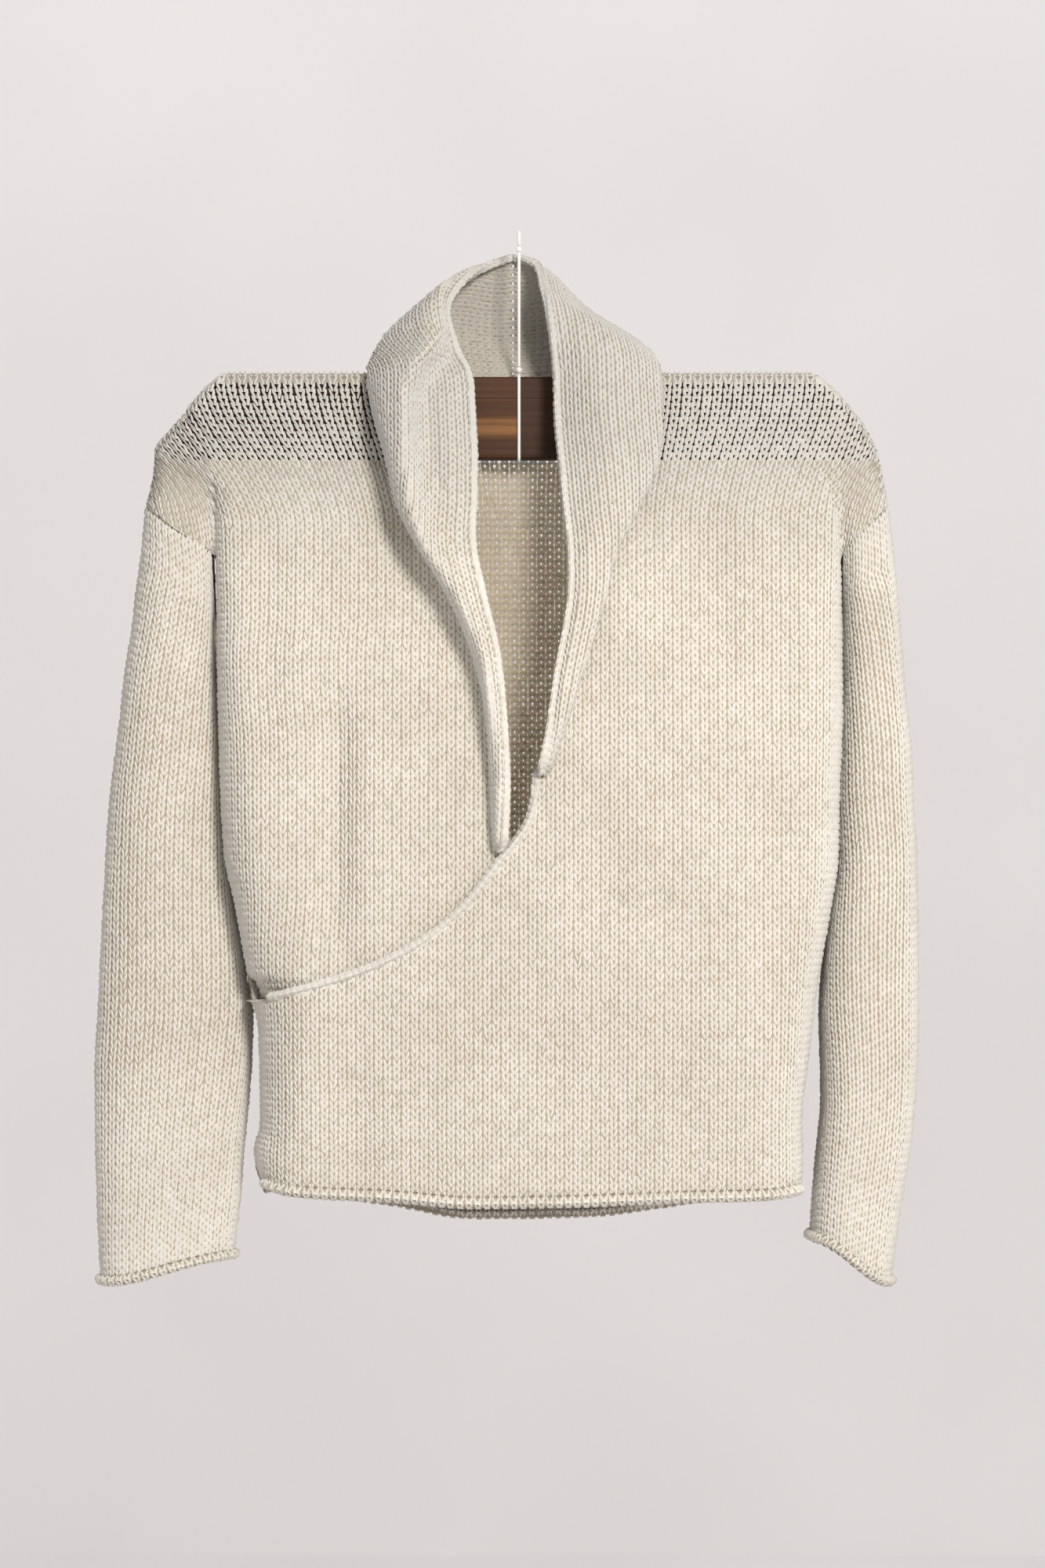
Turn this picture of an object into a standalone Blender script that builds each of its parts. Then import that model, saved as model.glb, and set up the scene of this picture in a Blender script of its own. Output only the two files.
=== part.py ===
# Wrap-front knitted sweater with a standing shawl collar, on a hanging wooden bar.
# Metres, +Z up, the front faces -Y, the origin is the top of the hanging cord's eye.
# Right and left in the names are the wearer's: the right front shows on the viewer's left.

import math
from collections import namedtuple

import bmesh
import bpy
import numpy as np

# Driving sizes
WALL = 0.003
SEAM_HALF = 0.0004
LAYER = WALL + 0.0016
ROLL_RADIUS = 0.0026

# The bar under the shoulders
BAR_TOP = -0.0938
BAR_BOTTOM = -0.1465
BAR_THICK = 0.016
BAR_EDGE = 0.003
BAR_CLEAR = 0.0005
SHOULDER_TOP = BAR_TOP + BAR_CLEAR + WALL / 2
SHOULDER_ROUND = 0.008
SHOULDER_POWER = 4.0

# Heights of the armholes
ARM_TOP = -0.175
ARM_FRONT = -0.206
UNDERARM = -0.2535

# The wrap: the left front's free edge meets the right side seam here
WRAP_SEAM = -0.4895
UNDER_START = -0.170
SIDE_STEP = 0.018
SIDE_EASE = 0.010
SIDE_LAYER = 1.4 * LAYER
LAYER_RUN = 0.060

# How softly the body turns into the drop shoulder, and where folds and borders calm down
CAP_BLEND = 0.014
CALM_WIDTH = 0.030
FOLD_FADE = 0.3
BORDER_LIMIT = 0.45

# Body outline at each height: outer edges, how far front and back stand from the bar's middle
# plane, and how widely and squarely the sides are rounded
Level = namedtuple("Level", "z left right front back edge round power")
BODY = (
    Level(-0.0900, -0.1950, 0.1925, 0.0100, 0.0100, 0.0100, 0.010, 4.0),
    Level(-0.1465, -0.1950, 0.1925, 0.0102, 0.0101, 0.0100, 0.010, 4.0),
    Level(-0.1630, -0.1945, 0.1990, 0.0160, 0.0120, 0.0098, 0.014, 3.2),
    Level(-0.1845, -0.1935, 0.2030, 0.0225, 0.0155, 0.0090, 0.022, 2.6),
    Level(-0.2060, -0.1935, 0.2050, 0.0285, 0.0195, 0.0075, 0.028, 2.3),
    Level(-0.2535, -0.1935, 0.2065, 0.0355, 0.0240, 0.0002, 0.034, 2.2),
    Level(-0.3050, -0.1925, 0.2070, 0.0410, 0.0270, 0.0002, 0.038, 2.2),
    Level(-0.3570, -0.1910, 0.2050, 0.0445, 0.0290, 0.0002, 0.040, 2.2),
    Level(-0.4015, -0.1880, 0.2040, 0.0460, 0.0300, 0.0002, 0.040, 2.2),
    Level(-0.4280, -0.1820, 0.2000, 0.0460, 0.0300, 0.0002, 0.040, 2.2),
    Level(-0.4870, -0.1715, 0.1900, 0.0450, 0.0300, 0.0002, 0.040, 2.2),
    Level(-0.5115, -0.1665, 0.1870, 0.0435, 0.0300, 0.0002, 0.038, 2.2),
    Level(-0.5720, -0.1655, 0.1810, 0.0390, 0.0290, 0.0002, 0.036, 2.2),
    Level(-0.5985, -0.1695, 0.1815, 0.0360, 0.0280, 0.0002, 0.034, 2.2),
    Level(-0.6250, -0.1620, 0.1800, 0.0345, 0.0280, 0.0002, 0.032, 2.2),
)

# Shoulder outline down to the sleeves: outer edges, depth and rounding of the drop shoulder
Cap = namedtuple("Cap", "z left right depth round power")
CAPS = (
    Cap(-0.0900, -0.1880, 0.1840, 0.0100, 0.008, 4.0),
    Cap(-0.0935, -0.1920, 0.1910, 0.0100, 0.008, 4.0),
    Cap(-0.1025, -0.2030, 0.2025, 0.0100, 0.008, 4.0),
    Cap(-0.1140, -0.2125, 0.2130, 0.0100, 0.008, 4.0),
    Cap(-0.1250, -0.2215, 0.2215, 0.0100, 0.008, 4.0),
    Cap(-0.1400, -0.2330, 0.2290, 0.0100, 0.008, 4.0),
    Cap(-0.1500, -0.2335, 0.2315, 0.0102, 0.009, 3.8),
    Cap(-0.1640, -0.2355, 0.2340, 0.0120, 0.012, 3.2),
    Cap(-0.1750, -0.2385, 0.2360, 0.0145, 0.016, 2.8),
    Cap(-0.1935, -0.2402, 0.2380, 0.0175, 0.021, 2.4),
    Cap(-0.2100, -0.2418, 0.2398, 0.0190, 0.024, 2.2),
)

# Armhole seam between the drop shoulder and the sleeve
Seam = namedtuple("Seam", "z left right")
ARM_SEAM = (
    Seam(ARM_TOP, -0.2385, 0.2360),
    Seam(-0.1830, -0.2285, 0.2275),
    Seam(-0.1930, -0.2165, 0.2175),
    Seam(ARM_FRONT, -0.1935, 0.2050),
)

# Inner edge of each front: the neckline under the collar, then the diagonal wrap
Edge = namedtuple("Edge", "z x")
RIGHT_FRONT_EDGE = (
    Edge(-0.0900, -0.0800),
    Edge(-0.1330, -0.0775),
    Edge(-0.1575, -0.0715),
    Edge(-0.1785, -0.0650),
    Edge(-0.2030, -0.0570),
    Edge(-0.2350, -0.0415),
    Edge(-0.2780, -0.0250),
    Edge(-0.3050, -0.0190),
    Edge(-0.3430, -0.0160),
    Edge(-0.3920, -0.0140),
    Edge(-0.4080, 0.0020),
    Edge(-0.4280, 0.0250),
    Edge(-0.4480, 0.0550),
    Edge(-0.4650, 0.0950),
    Edge(-0.4780, 0.1350),
    Edge(-0.4860, 0.1650),
    Edge(WRAP_SEAM, 0.1860),
)
LEFT_FRONT_EDGE = (
    Edge(-0.0900, 0.0720),
    Edge(-0.1330, 0.0715),
    Edge(-0.1630, 0.0675),
    Edge(-0.1780, 0.0605),
    Edge(-0.1910, 0.0545),
    Edge(-0.2090, 0.0480),
    Edge(-0.2415, 0.0425),
    Edge(-0.2860, 0.0345),
    Edge(-0.3180, 0.0265),
    Edge(-0.3410, 0.0185),
    Edge(-0.3560, 0.0120),
    Edge(-0.3775, 0.0055),
    Edge(-0.3905, -0.0035),
    Edge(-0.4005, -0.0115),
    Edge(-0.4295, -0.0345),
    Edge(-0.4485, -0.0565),
    Edge(-0.4615, -0.0785),
    Edge(-0.4735, -0.1075),
    Edge(-0.4820, -0.1370),
    Edge(-0.4870, -0.1560),
    Edge(WRAP_SEAM, -0.1700),
)

# Hems, across the body
Hem = namedtuple("Hem", "x front back")
HEMS = (
    Hem(-0.1700, -0.6060, -0.6120),
    Hem(-0.1400, -0.6130, -0.6160),
    Hem(-0.0800, -0.6160, -0.6240),
    Hem(-0.0300, -0.6200, -0.6320),
    Hem(0.0400, -0.6190, -0.6310),
    Hem(0.1000, -0.6165, -0.6240),
    Hem(0.1500, -0.6155, -0.6160),
    Hem(0.1850, -0.6120, -0.6120),
)
UNDER_HEM_LIFT = 0.012
HEM_LEVEL = -0.6200
HEM_BLEND_TOP = -0.5400
HEM_TURNS = tuple(math.radians(angle) for angle in (45, 90, 135, 180))

# Back neckline between the shoulders: its ends, its height and how quickly it drops
NECK_LEFT = -0.0780
NECK_RIGHT = 0.0700
NECK_EASE = 0.012
NECK_BACK = -0.0985
NECK_SHARE = 0.9

# Soft folds in the cloth: a line from top to low, depth inwards, half width across
Fold = namedtuple("Fold", "x_top z_top x_low z_low depth width")
FRONT_FOLDS = (
    Fold(-0.1150, -0.2650, -0.1170, -0.4850, 0.0075, 0.0130),
    Fold(-0.0920, -0.1500, -0.0500, -0.2850, 0.0060, 0.0170),
    Fold(-0.1560, -0.1600, -0.1620, -0.3600, 0.0020, 0.0120),
    Fold(0.1250, -0.1700, 0.1150, -0.3600, 0.0025, 0.0180),
    Fold(0.1680, -0.2200, 0.1560, -0.5200, 0.0030, 0.0140),
    Fold(-0.1100, -0.5200, -0.0900, -0.6300, 0.0022, 0.0140),
    Fold(0.0500, -0.5200, 0.0550, -0.6350, 0.0020, 0.0200),
)
BACK_FOLDS = (
    Fold(0.0000, -0.0600, 0.0000, -0.2000, -0.0045, 0.0240),
    Fold(-0.1100, -0.2100, -0.1150, -0.5200, 0.0055, 0.0150),
    Fold(0.1150, -0.2300, 0.1050, -0.5600, 0.0050, 0.0160),
    Fold(0.0100, -0.3000, 0.0150, -0.6200, 0.0030, 0.0180),
)

# Sleeves: outer and inner edges, how far the front and back walls stand from the bar's plane
Ring = namedtuple("Ring", "z outer inner front back")
RIGHT_SLEEVE = (
    Ring(ARM_TOP, -0.2385, -0.1955, 0.0150, 0.0150),
    Ring(-0.2060, -0.2415, -0.1955, 0.0185, 0.0200),
    Ring(-0.2275, -0.2450, -0.1956, 0.0170, 0.0300),
    Ring(-0.2535, -0.2485, -0.1954, 0.0135, 0.0400),
    Ring(-0.2795, -0.2530, -0.1945, 0.0110, 0.0460),
    Ring(-0.3140, -0.2570, -0.1930, 0.0090, 0.0490),
    Ring(-0.3655, -0.2635, -0.1905, 0.0075, 0.0480),
    Ring(-0.4215, -0.2670, -0.1850, 0.0060, 0.0460),
    Ring(-0.4715, -0.2695, -0.1770, 0.0055, 0.0430),
    Ring(-0.5030, -0.2710, -0.1735, 0.0055, 0.0400),
    Ring(-0.5355, -0.2725, -0.1745, 0.0055, 0.0370),
    Ring(-0.5840, -0.2720, -0.1790, 0.0060, 0.0340),
    Ring(-0.6175, -0.2710, -0.1815, 0.0065, 0.0340),
    Ring(-0.6415, -0.2700, -0.1845, 0.0080, 0.0350),
    Ring(-0.6750, -0.2680, -0.1870, 0.0100, 0.0360),
)
LEFT_SLEEVE = (
    Ring(ARM_TOP, 0.2360, 0.2070, 0.0150, 0.0150),
    Ring(-0.2060, 0.2392, 0.2072, 0.0185, 0.0200),
    Ring(-0.2275, 0.2420, 0.2080, 0.0190, 0.0320),
    Ring(-0.2535, 0.2445, 0.2086, 0.0170, 0.0430),
    Ring(-0.2965, 0.2485, 0.2085, 0.0150, 0.0500),
    Ring(-0.3310, 0.2520, 0.2070, 0.0145, 0.0520),
    Ring(-0.3655, 0.2535, 0.2050, 0.0140, 0.0520),
    Ring(-0.4000, 0.2555, 0.2052, 0.0140, 0.0510),
    Ring(-0.4500, 0.2565, 0.1990, 0.0135, 0.0490),
    Ring(-0.5030, 0.2565, 0.1955, 0.0140, 0.0470),
    Ring(-0.5295, 0.2560, 0.1962, 0.0145, 0.0460),
    Ring(-0.5540, 0.2545, 0.1965, 0.0150, 0.0450),
    Ring(-0.5940, 0.2500, 0.1930, 0.0155, 0.0440),
    Ring(-0.6240, 0.2450, 0.1905, 0.0160, 0.0430),
    Ring(-0.6750, 0.2380, 0.1880, 0.0165, 0.0420),
)
SLEEVE_POWER = 2.3
SLEEVE_GAP = 0.0008
TIP_GAP = 0.0011
TIP_SHARE = 0.45
SHOULDER_BLEND = 0.055
PIT_SHARE = 0.93
CUFF_OUTER = -0.6725
CUFF_INNER_RIGHT = -0.6560
CUFF_INNER_LEFT = -0.6440

# Collar halves: stations from the front tip up round the neck to the centre back seam.
# Across each station: root on the neckline, outer bulge, roll at the front, free edge.
# The lift is the direction in which the root leaves the neckline: 0 forward, 90 up.
# Down the front, the root is drawn onto the outer face of the front beside its edge.
Station = namedtuple("Station", "root lift bulge roll edge")
RIGHT_COLLAR = (
    Station(
        root=(-0.0115, -0.0450, -0.3880), lift=0, bulge=(-0.0145, -0.0535, -0.3880),
        roll=(-0.0125, -0.0570, -0.3875), edge=(-0.0090, -0.0560, -0.3870),
    ),
    Station(
        root=(-0.0130, -0.0440, -0.3430), lift=0, bulge=(-0.0165, -0.0540, -0.3430),
        roll=(-0.0130, -0.0600, -0.3430), edge=(-0.0080, -0.0570, -0.3430),
    ),
    Station(
        root=(-0.0220, -0.0400, -0.2780), lift=0, bulge=(-0.0255, -0.0520, -0.2780),
        roll=(-0.0210, -0.0610, -0.2780), edge=(-0.0130, -0.0540, -0.2780),
    ),
    Station(
        root=(-0.0385, -0.0350, -0.2350), lift=0, bulge=(-0.0440, -0.0480, -0.2350),
        roll=(-0.0380, -0.0590, -0.2350), edge=(-0.0225, -0.0520, -0.2350),
    ),
    Station(
        root=(-0.0540, -0.0300, -0.2030), lift=0, bulge=(-0.0640, -0.0430, -0.2030),
        roll=(-0.0555, -0.0560, -0.2030), edge=(-0.0290, -0.0450, -0.2030),
    ),
    Station(
        root=(-0.0620, -0.0260, -0.1785), lift=0, bulge=(-0.0765, -0.0390, -0.1785),
        roll=(-0.0670, -0.0535, -0.1780), edge=(-0.0285, -0.0400, -0.1730),
    ),
    Station(
        root=(-0.0690, -0.0210, -0.1480), lift=0, bulge=(-0.0840, -0.0330, -0.1480),
        roll=(-0.0730, -0.0500, -0.1475), edge=(-0.0285, -0.0330, -0.1440),
    ),
    Station(
        root=(-0.0740, -0.0185, -0.1180), lift=10, bulge=(-0.0925, -0.0260, -0.1180),
        roll=(-0.0760, -0.0470, -0.1150), edge=(-0.0300, -0.0260, -0.1160),
    ),
    Station(
        root=(-0.0765, -0.0118, -0.0925), lift=30, bulge=(-0.0965, -0.0180, -0.0930),
        roll=(-0.0700, -0.0400, -0.0900), edge=(-0.0320, -0.0200, -0.0930),
    ),
    Station(
        root=(-0.0768, -0.0020, -0.0891), lift=60, bulge=(-0.0930, -0.0070, -0.0790),
        roll=(-0.0590, -0.0280, -0.0720), edge=(-0.0400, -0.0140, -0.0760),
    ),
    Station(
        root=(-0.0710, 0.0085, -0.0915), lift=80, bulge=(-0.0800, 0.0140, -0.0630),
        roll=(-0.0530, -0.0060, -0.0400), edge=(-0.0460, -0.0030, -0.0480),
    ),
    Station(
        root=(-0.0380, 0.0118, -0.0972), lift=90, bulge=(-0.0460, 0.0330, -0.0600),
        roll=(-0.0345, 0.0290, -0.0235), edge=(-0.0290, 0.0230, -0.0245),
    ),
    Station(
        root=(-0.0044, 0.0122, -0.0972), lift=90, bulge=(-0.0044, 0.0370, -0.0600),
        roll=(-0.0044, 0.0345, -0.0225), edge=(-0.0044, 0.0310, -0.0140),
    ),
)
LEFT_COLLAR = (
    Station(
        root=(0.0160, -0.0500, -0.3420), lift=0, bulge=(0.0185, -0.0560, -0.3400),
        roll=(0.0170, -0.0585, -0.3390), edge=(0.0150, -0.0570, -0.3385),
    ),
    Station(
        root=(0.0230, -0.0480, -0.3180), lift=0, bulge=(0.0280, -0.0560, -0.3170),
        roll=(0.0235, -0.0610, -0.3170), edge=(0.0195, -0.0580, -0.3170),
    ),
    Station(
        root=(0.0310, -0.0450, -0.2880), lift=0, bulge=(0.0385, -0.0545, -0.2870),
        roll=(0.0310, -0.0615, -0.2860), edge=(0.0240, -0.0570, -0.2850),
    ),
    Station(
        root=(0.0390, -0.0400, -0.2415), lift=0, bulge=(0.0530, -0.0510, -0.2415),
        roll=(0.0420, -0.0600, -0.2415), edge=(0.0320, -0.0550, -0.2400),
    ),
    Station(
        root=(0.0445, -0.0350, -0.2090), lift=0, bulge=(0.0610, -0.0470, -0.2090),
        roll=(0.0480, -0.0575, -0.2080), edge=(0.0325, -0.0520, -0.2060),
    ),
    Station(
        root=(0.0560, -0.0310, -0.1790), lift=0, bulge=(0.0760, -0.0410, -0.1790),
        roll=(0.0540, -0.0545, -0.1780), edge=(0.0295, -0.0460, -0.1770),
    ),
    Station(
        root=(0.0640, -0.0250, -0.1530), lift=0, bulge=(0.0870, -0.0340, -0.1530),
        roll=(0.0590, -0.0500, -0.1520), edge=(0.0270, -0.0400, -0.1510),
    ),
    Station(
        root=(0.0680, -0.0190, -0.1230), lift=10, bulge=(0.0910, -0.0260, -0.1230),
        roll=(0.0590, -0.0450, -0.1220), edge=(0.0245, -0.0330, -0.1220),
    ),
    Station(
        root=(0.0695, -0.0118, -0.0925), lift=30, bulge=(0.0910, -0.0180, -0.0940),
        roll=(0.0570, -0.0400, -0.0910), edge=(0.0235, -0.0280, -0.0920),
    ),
    Station(
        root=(0.0692, -0.0020, -0.0891), lift=60, bulge=(0.0865, -0.0070, -0.0810),
        roll=(0.0540, -0.0230, -0.0655), edge=(0.0195, -0.0200, -0.0560),
    ),
    Station(
        root=(0.0630, 0.0085, -0.0915), lift=80, bulge=(0.0705, 0.0160, -0.0680),
        roll=(0.0380, 0.0020, -0.0480), edge=(0.0160, -0.0060, -0.0370),
    ),
    Station(
        root=(0.0330, 0.0118, -0.0972), lift=90, bulge=(0.0385, 0.0330, -0.0620),
        roll=(0.0240, 0.0240, -0.0290), edge=(0.0115, 0.0150, -0.0205),
    ),
    Station(
        root=(-0.0032, 0.0122, -0.0972), lift=90, bulge=(-0.0032, 0.0370, -0.0600),
        roll=(-0.0032, 0.0345, -0.0225), edge=(-0.0032, 0.0310, -0.0140),
    ),
)
ROOT_RUN = 0.005
ROOT_INSET = 0.0018
ROOT_SEAT = WALL / 2 + 0.0008
ROOT_ON_FRONT = 8.5

COLLAR_NODES = ("root", "leave", "bulge", "roll", "edge")

# Cord: one turn round the bar, a knot, a straight stretch and a small eye
CORD_RADIUS = 0.001
CORD_GAP = 0.0003
CORD_SIDES = 2
CORD_CELLS = 14
EYE_HEIGHT = 0.010
EYE_WIDTH = 0.006
EYE_CELLS = 20
HOOP_CORNER = 0.0042
HOOP_CORNER_CELLS = 4
KNOT_RADIUS = 0.0021
EYE_KNOT_RADIUS = 0.0018
KNOT_CELLS = 12
KNOT_RINGS = 8

# Bar outline: the ends of its top, its slopes inside the cloth's outer edge and its lower corner
BAR_INSET = 1.25 * (WALL + BAR_CLEAR + 0.0012)
BAR_LEFT = -0.186
BAR_RIGHT = 0.184
BAR_LEVELS = (-0.0995, -0.1080, -0.1180, -0.1280, -0.1380)
BAR_FLARE = 0.001
BAR_EDGE_CELLS = 2

# Grid rows and columns, as heights, places across or counts
SHOULDER_TURN = (0.0, 0.02, 0.2, 0.6)
SHOULDER_ROWS = (-0.1050, -0.1250, -0.1380, -0.1480, -0.1570, -0.1660)
ARM_ROWS = (ARM_TOP, -0.1830, -0.1930, ARM_FRONT)
RIGHT_FRONT_ROWS = (-0.2280, UNDERARM, -0.2800, -0.3080, -0.3360, -0.3640, -0.3920, -0.4080, -0.4280)
RIGHT_FRONT_ROWS += (-0.4480, -0.4650, -0.4780, -0.4860, WRAP_SEAM, -0.5000, -0.5300, -0.5700)
RIGHT_FRONT_ROWS += (HEM_LEVEL + UNDER_HEM_LIFT,)
LEFT_FRONT_ROWS = (-0.2280, UNDERARM, -0.2800, -0.3080, -0.3410, -0.3560, -0.3775, -0.4005, -0.4150)
LEFT_FRONT_ROWS += (-0.4295, -0.4485, -0.4615, -0.4735, -0.4820, -0.4870, WRAP_SEAM, -0.5050, -0.5300)
LEFT_FRONT_ROWS += (-0.5600, -0.5900, HEM_LEVEL)
BACK_ROWS = (-0.2280, UNDERARM, -0.2900, -0.3300, -0.3700, -0.4100, -0.4400, -0.4870, -0.5200, -0.5550)
BACK_ROWS += (-0.5900, HEM_LEVEL)
RIGHT_FRONT_CELLS = 11
LEFT_FRONT_CELLS = 12
BACK_COLUMNS = (-0.1050, -0.0840, -0.0800, -0.0760, -0.0720, -0.0680, -0.0400, -0.0120)
BACK_COLUMNS += (0.0120, 0.0350, 0.0560, 0.0600, 0.0640, 0.0680, 0.0720, 0.0950)
BORDER_TURN = (0.0, 0.008, 0.12, 0.42)
COLLAR_ROWS = 26
COLLAR_COLUMNS = 7
SLEEVE_CELLS = 18
SLEEVE_STEPS = (0.0, 0.008, 0.03, 0.06, 0.10, 0.16, 0.24, 0.33, 0.43, 0.53, 0.64, 0.75, 0.85, 0.93, 1.0)

DOWN = np.array([0.0, 0.0, -1.0])

# Material colours
CREAM = (0.80, 0.76, 0.66, 1.0)
WALNUT = (0.10, 0.045, 0.020, 1.0)
WHITE = (0.85, 0.84, 0.80, 1.0)


def smooth(at, knots, values):
    """A smooth curve through (knots, values), with no overshoot, read at the places `at`."""
    knots = np.asarray(knots, float)
    values = np.asarray(values, float)
    if knots[0] > knots[-1]:
        knots, values = knots[::-1], values[::-1]
    steps = np.diff(knots)
    slopes = np.diff(values) / steps
    product = slopes[1:] * slopes[:-1]
    total = slopes[1:] + slopes[:-1]
    inner = np.where(product > 0, 2 * product / np.where(total == 0, 1, total), 0)
    tangents = np.concatenate([slopes[:1], inner, slopes[-1:]])
    at = np.clip(np.asarray(at, float), knots[0], knots[-1])
    i = np.clip(np.searchsorted(knots, at, side="right") - 1, 0, len(steps) - 1)
    t = (at - knots[i]) / steps[i]
    return (
        values[i] * (1 + 2 * t) * (1 - t) ** 2
        + steps[i] * tangents[i] * t * (1 - t) ** 2
        + values[i + 1] * t**2 * (3 - 2 * t)
        + steps[i] * tangents[i + 1] * t**2 * (t - 1)
    )


def column(table, name, z):
    return smooth(z, [row.z for row in table], [getattr(row, name) for row in table])


def ease(t):
    t = np.clip(t, 0, 1)
    return t * t * (3 - 2 * t)


def rounding(distance, radius, power):
    """Rises from 0 at the border to 1 at the radius, like the side of a rounded square."""
    t = np.clip(distance / radius, 0, 1)
    return (1 - (1 - t) ** power) ** (1 / power)


def fold_depth(folds, x, z):
    total = np.zeros(np.broadcast(x, z).shape)
    for fold in folds:
        along = (z - fold.z_top) / (fold.z_low - fold.z_top)
        middle = fold.x_top + (fold.x_low - fold.x_top) * along
        fade = ease(along / FOLD_FADE) * ease((1 - along) / FOLD_FADE)
        total += fold.depth * fade * np.exp(-(((x - middle) / fold.width) ** 2))
    return total


def depth(x, z, side, under=False):
    """Distance of a panel's middle surface from the bar's middle plane: side is front or back."""
    layer = LAYER * ease((UNDER_START - z) / LAYER_RUN) if under else 0.0
    step = SIDE_LAYER * ease((WRAP_SEAM + SIDE_STEP - z) / SIDE_EASE) if under else 0.0
    left = column(BODY, "left", z) + WALL / 2 + step
    right = column(BODY, "right", z) - WALL / 2 - step
    full = column(BODY, side, z) - layer
    edge = np.minimum(column(BODY, "edge", z), full)
    radius = column(BODY, "round", z)
    power = column(BODY, "power", z)
    inside = np.minimum(x - left, right - x)
    body = edge + (full - edge) * rounding(inside, radius, power)
    out_left = column(CAPS, "left", z) + WALL / 2
    out_right = column(CAPS, "right", z) - WALL / 2
    within = np.minimum(x - out_left, out_right - x)
    cap = column(CAPS, "depth", z)
    cap = cap * rounding(within, column(CAPS, "round", z), column(CAPS, "power", z))
    away = ease(-inside / CAP_BLEND)
    cap = cap * away + np.minimum(cap, edge) * (1 - away)
    total = np.where(inside >= 0, body, cap)
    folds = FRONT_FOLDS if side == "front" else BACK_FOLDS
    calm = ease(inside / CALM_WIDTH)
    total = total - fold_depth(folds, x, z) * calm
    over = rounding(SHOULDER_TOP - z, SHOULDER_ROUND, SHOULDER_POWER)
    return np.maximum(total * over, SEAM_HALF)


def outer_edge(z, name):
    """Where a panel ends at the side: shoulder outline, armhole seam, then side seam."""
    sign = 1 if name == "left" else -1
    cap = column(CAPS, name, z) + sign * WALL / 2
    seam = column(ARM_SEAM, name, z)
    side = column(BODY, name, z) + sign * WALL / 2
    seam = np.maximum(seam, cap) if name == "left" else np.minimum(seam, cap)
    edge = np.where(z > ARM_TOP, cap, seam)
    return np.where(z < ARM_FRONT, side, edge)


def spread(start, end, radius, middle):
    """Places from start to end, close together within the rounded borders. The middle is a
    number of cells, or the places themselves."""
    border = np.array(BORDER_TURN) * radius
    if isinstance(middle, tuple):
        inner = np.array([start + radius, *middle, end - radius])
    else:
        inner = np.linspace(start + radius, end - radius, middle + 1)
    return np.concatenate([start + border, inner, (end - border)[::-1]])


def heights(levels):
    """Rows from the shoulder seam down: the turn over the bar's top, then the given levels."""
    return [SHOULDER_TOP - turn * SHOULDER_ROUND for turn in SHOULDER_TURN] + list(levels)


def panel(side, rows, start, end, cells, under=False, rolled=False, row_shift=None):
    """Grid of points: one row of the panel for each height."""
    sign = -1 if side == "front" else 1
    points = []
    for z in rows:
        x0, x1 = float(start(z)), float(end(z))
        radius = float(column(BODY if z < ARM_FRONT else CAPS, "round", z))
        xs = spread(x0, x1, min(radius, BORDER_LIMIT * (x1 - x0)), cells)
        zs = np.full(xs.shape, z)
        if row_shift is not None:
            zs = zs + row_shift(xs, z)
        ys = sign * depth(xs, zs, side, under)
        points.append(np.stack([xs, ys, zs], axis=1))
    grid = np.array(points)
    if rolled:
        grid = np.concatenate([grid, hem_roll(grid[-1], sign)])
    return grid


def curl(last, outward):
    """Rows that curl the last one outwards in a half turn."""
    rows = []
    for angle in HEM_TURNS:
        out = outward * ROLL_RADIUS * (1 - math.cos(angle))
        rows.append(last + out + DOWN * ROLL_RADIUS * math.sin(angle))
    return np.array(rows)


def hem_roll(last, sign):
    outward = np.cross(np.gradient(last, axis=0), DOWN) * sign
    outward[:, 2] = 0
    outward /= np.linalg.norm(outward, axis=1)[:, None]
    return curl(last, outward)


def mesh_object(name, grid, colour, around=False):
    """A grid of points as an open surface, given its wall by a Solidify modifier."""
    rows, columns = grid.shape[:2]
    mesh = bmesh.new()
    verts = [[mesh.verts.new(point) for point in row] for row in grid.tolist()]
    for j in range(rows - 1):
        for i in range(columns if around else columns - 1):
            k = (i + 1) % columns
            mesh.faces.new((verts[j][i], verts[j + 1][i], verts[j + 1][k], verts[j][k]))
    bmesh.ops.recalc_face_normals(mesh, faces=mesh.faces)
    data = bpy.data.meshes.new(name)
    mesh.to_mesh(data)
    mesh.free()
    data.shade_smooth()
    obj = bpy.data.objects.new(name, data)
    wall = obj.modifiers.new("Wall", "SOLIDIFY")
    wall.thickness = WALL
    wall.offset = 0.0
    add(obj, colour, roughness=0.95)
    return obj


def add(obj, colour, roughness):
    material = bpy.data.materials.new(obj.name + "_material")
    material.use_nodes = True
    shader = material.node_tree.nodes["Principled BSDF"]
    shader.inputs["Base Color"].default_value = colour
    shader.inputs["Roughness"].default_value = roughness
    shader.inputs["Metallic"].default_value = 0.0
    obj.data.materials.append(material)
    PARTS.objects.link(obj)


def hem_shift(side):
    """Moves the lowest rows so that the last one follows the hem line."""

    def shift(x, z):
        hem = smooth(x, [row.x for row in HEMS], [getattr(row, side) for row in HEMS])
        share = ease((HEM_BLEND_TOP - z) / (HEM_BLEND_TOP - HEM_LEVEL))
        return (hem - HEM_LEVEL) * share

    return shift


def make_right_front():
    rows = heights(SHOULDER_ROWS + ARM_ROWS + RIGHT_FRONT_ROWS)

    def start(z):
        return outer_edge(z, "left") + SIDE_LAYER * ease((WRAP_SEAM + SIDE_STEP - z) / SIDE_EASE)

    def end(z):
        right = column(BODY, "right", z) - WALL / 2 - SIDE_LAYER
        return np.minimum(column(RIGHT_FRONT_EDGE, "x", z), right) if z > WRAP_SEAM else right

    grid = panel("front", rows, start, end, RIGHT_FRONT_CELLS, under=True)
    return mesh_object("front_right", grid, CREAM)


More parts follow.
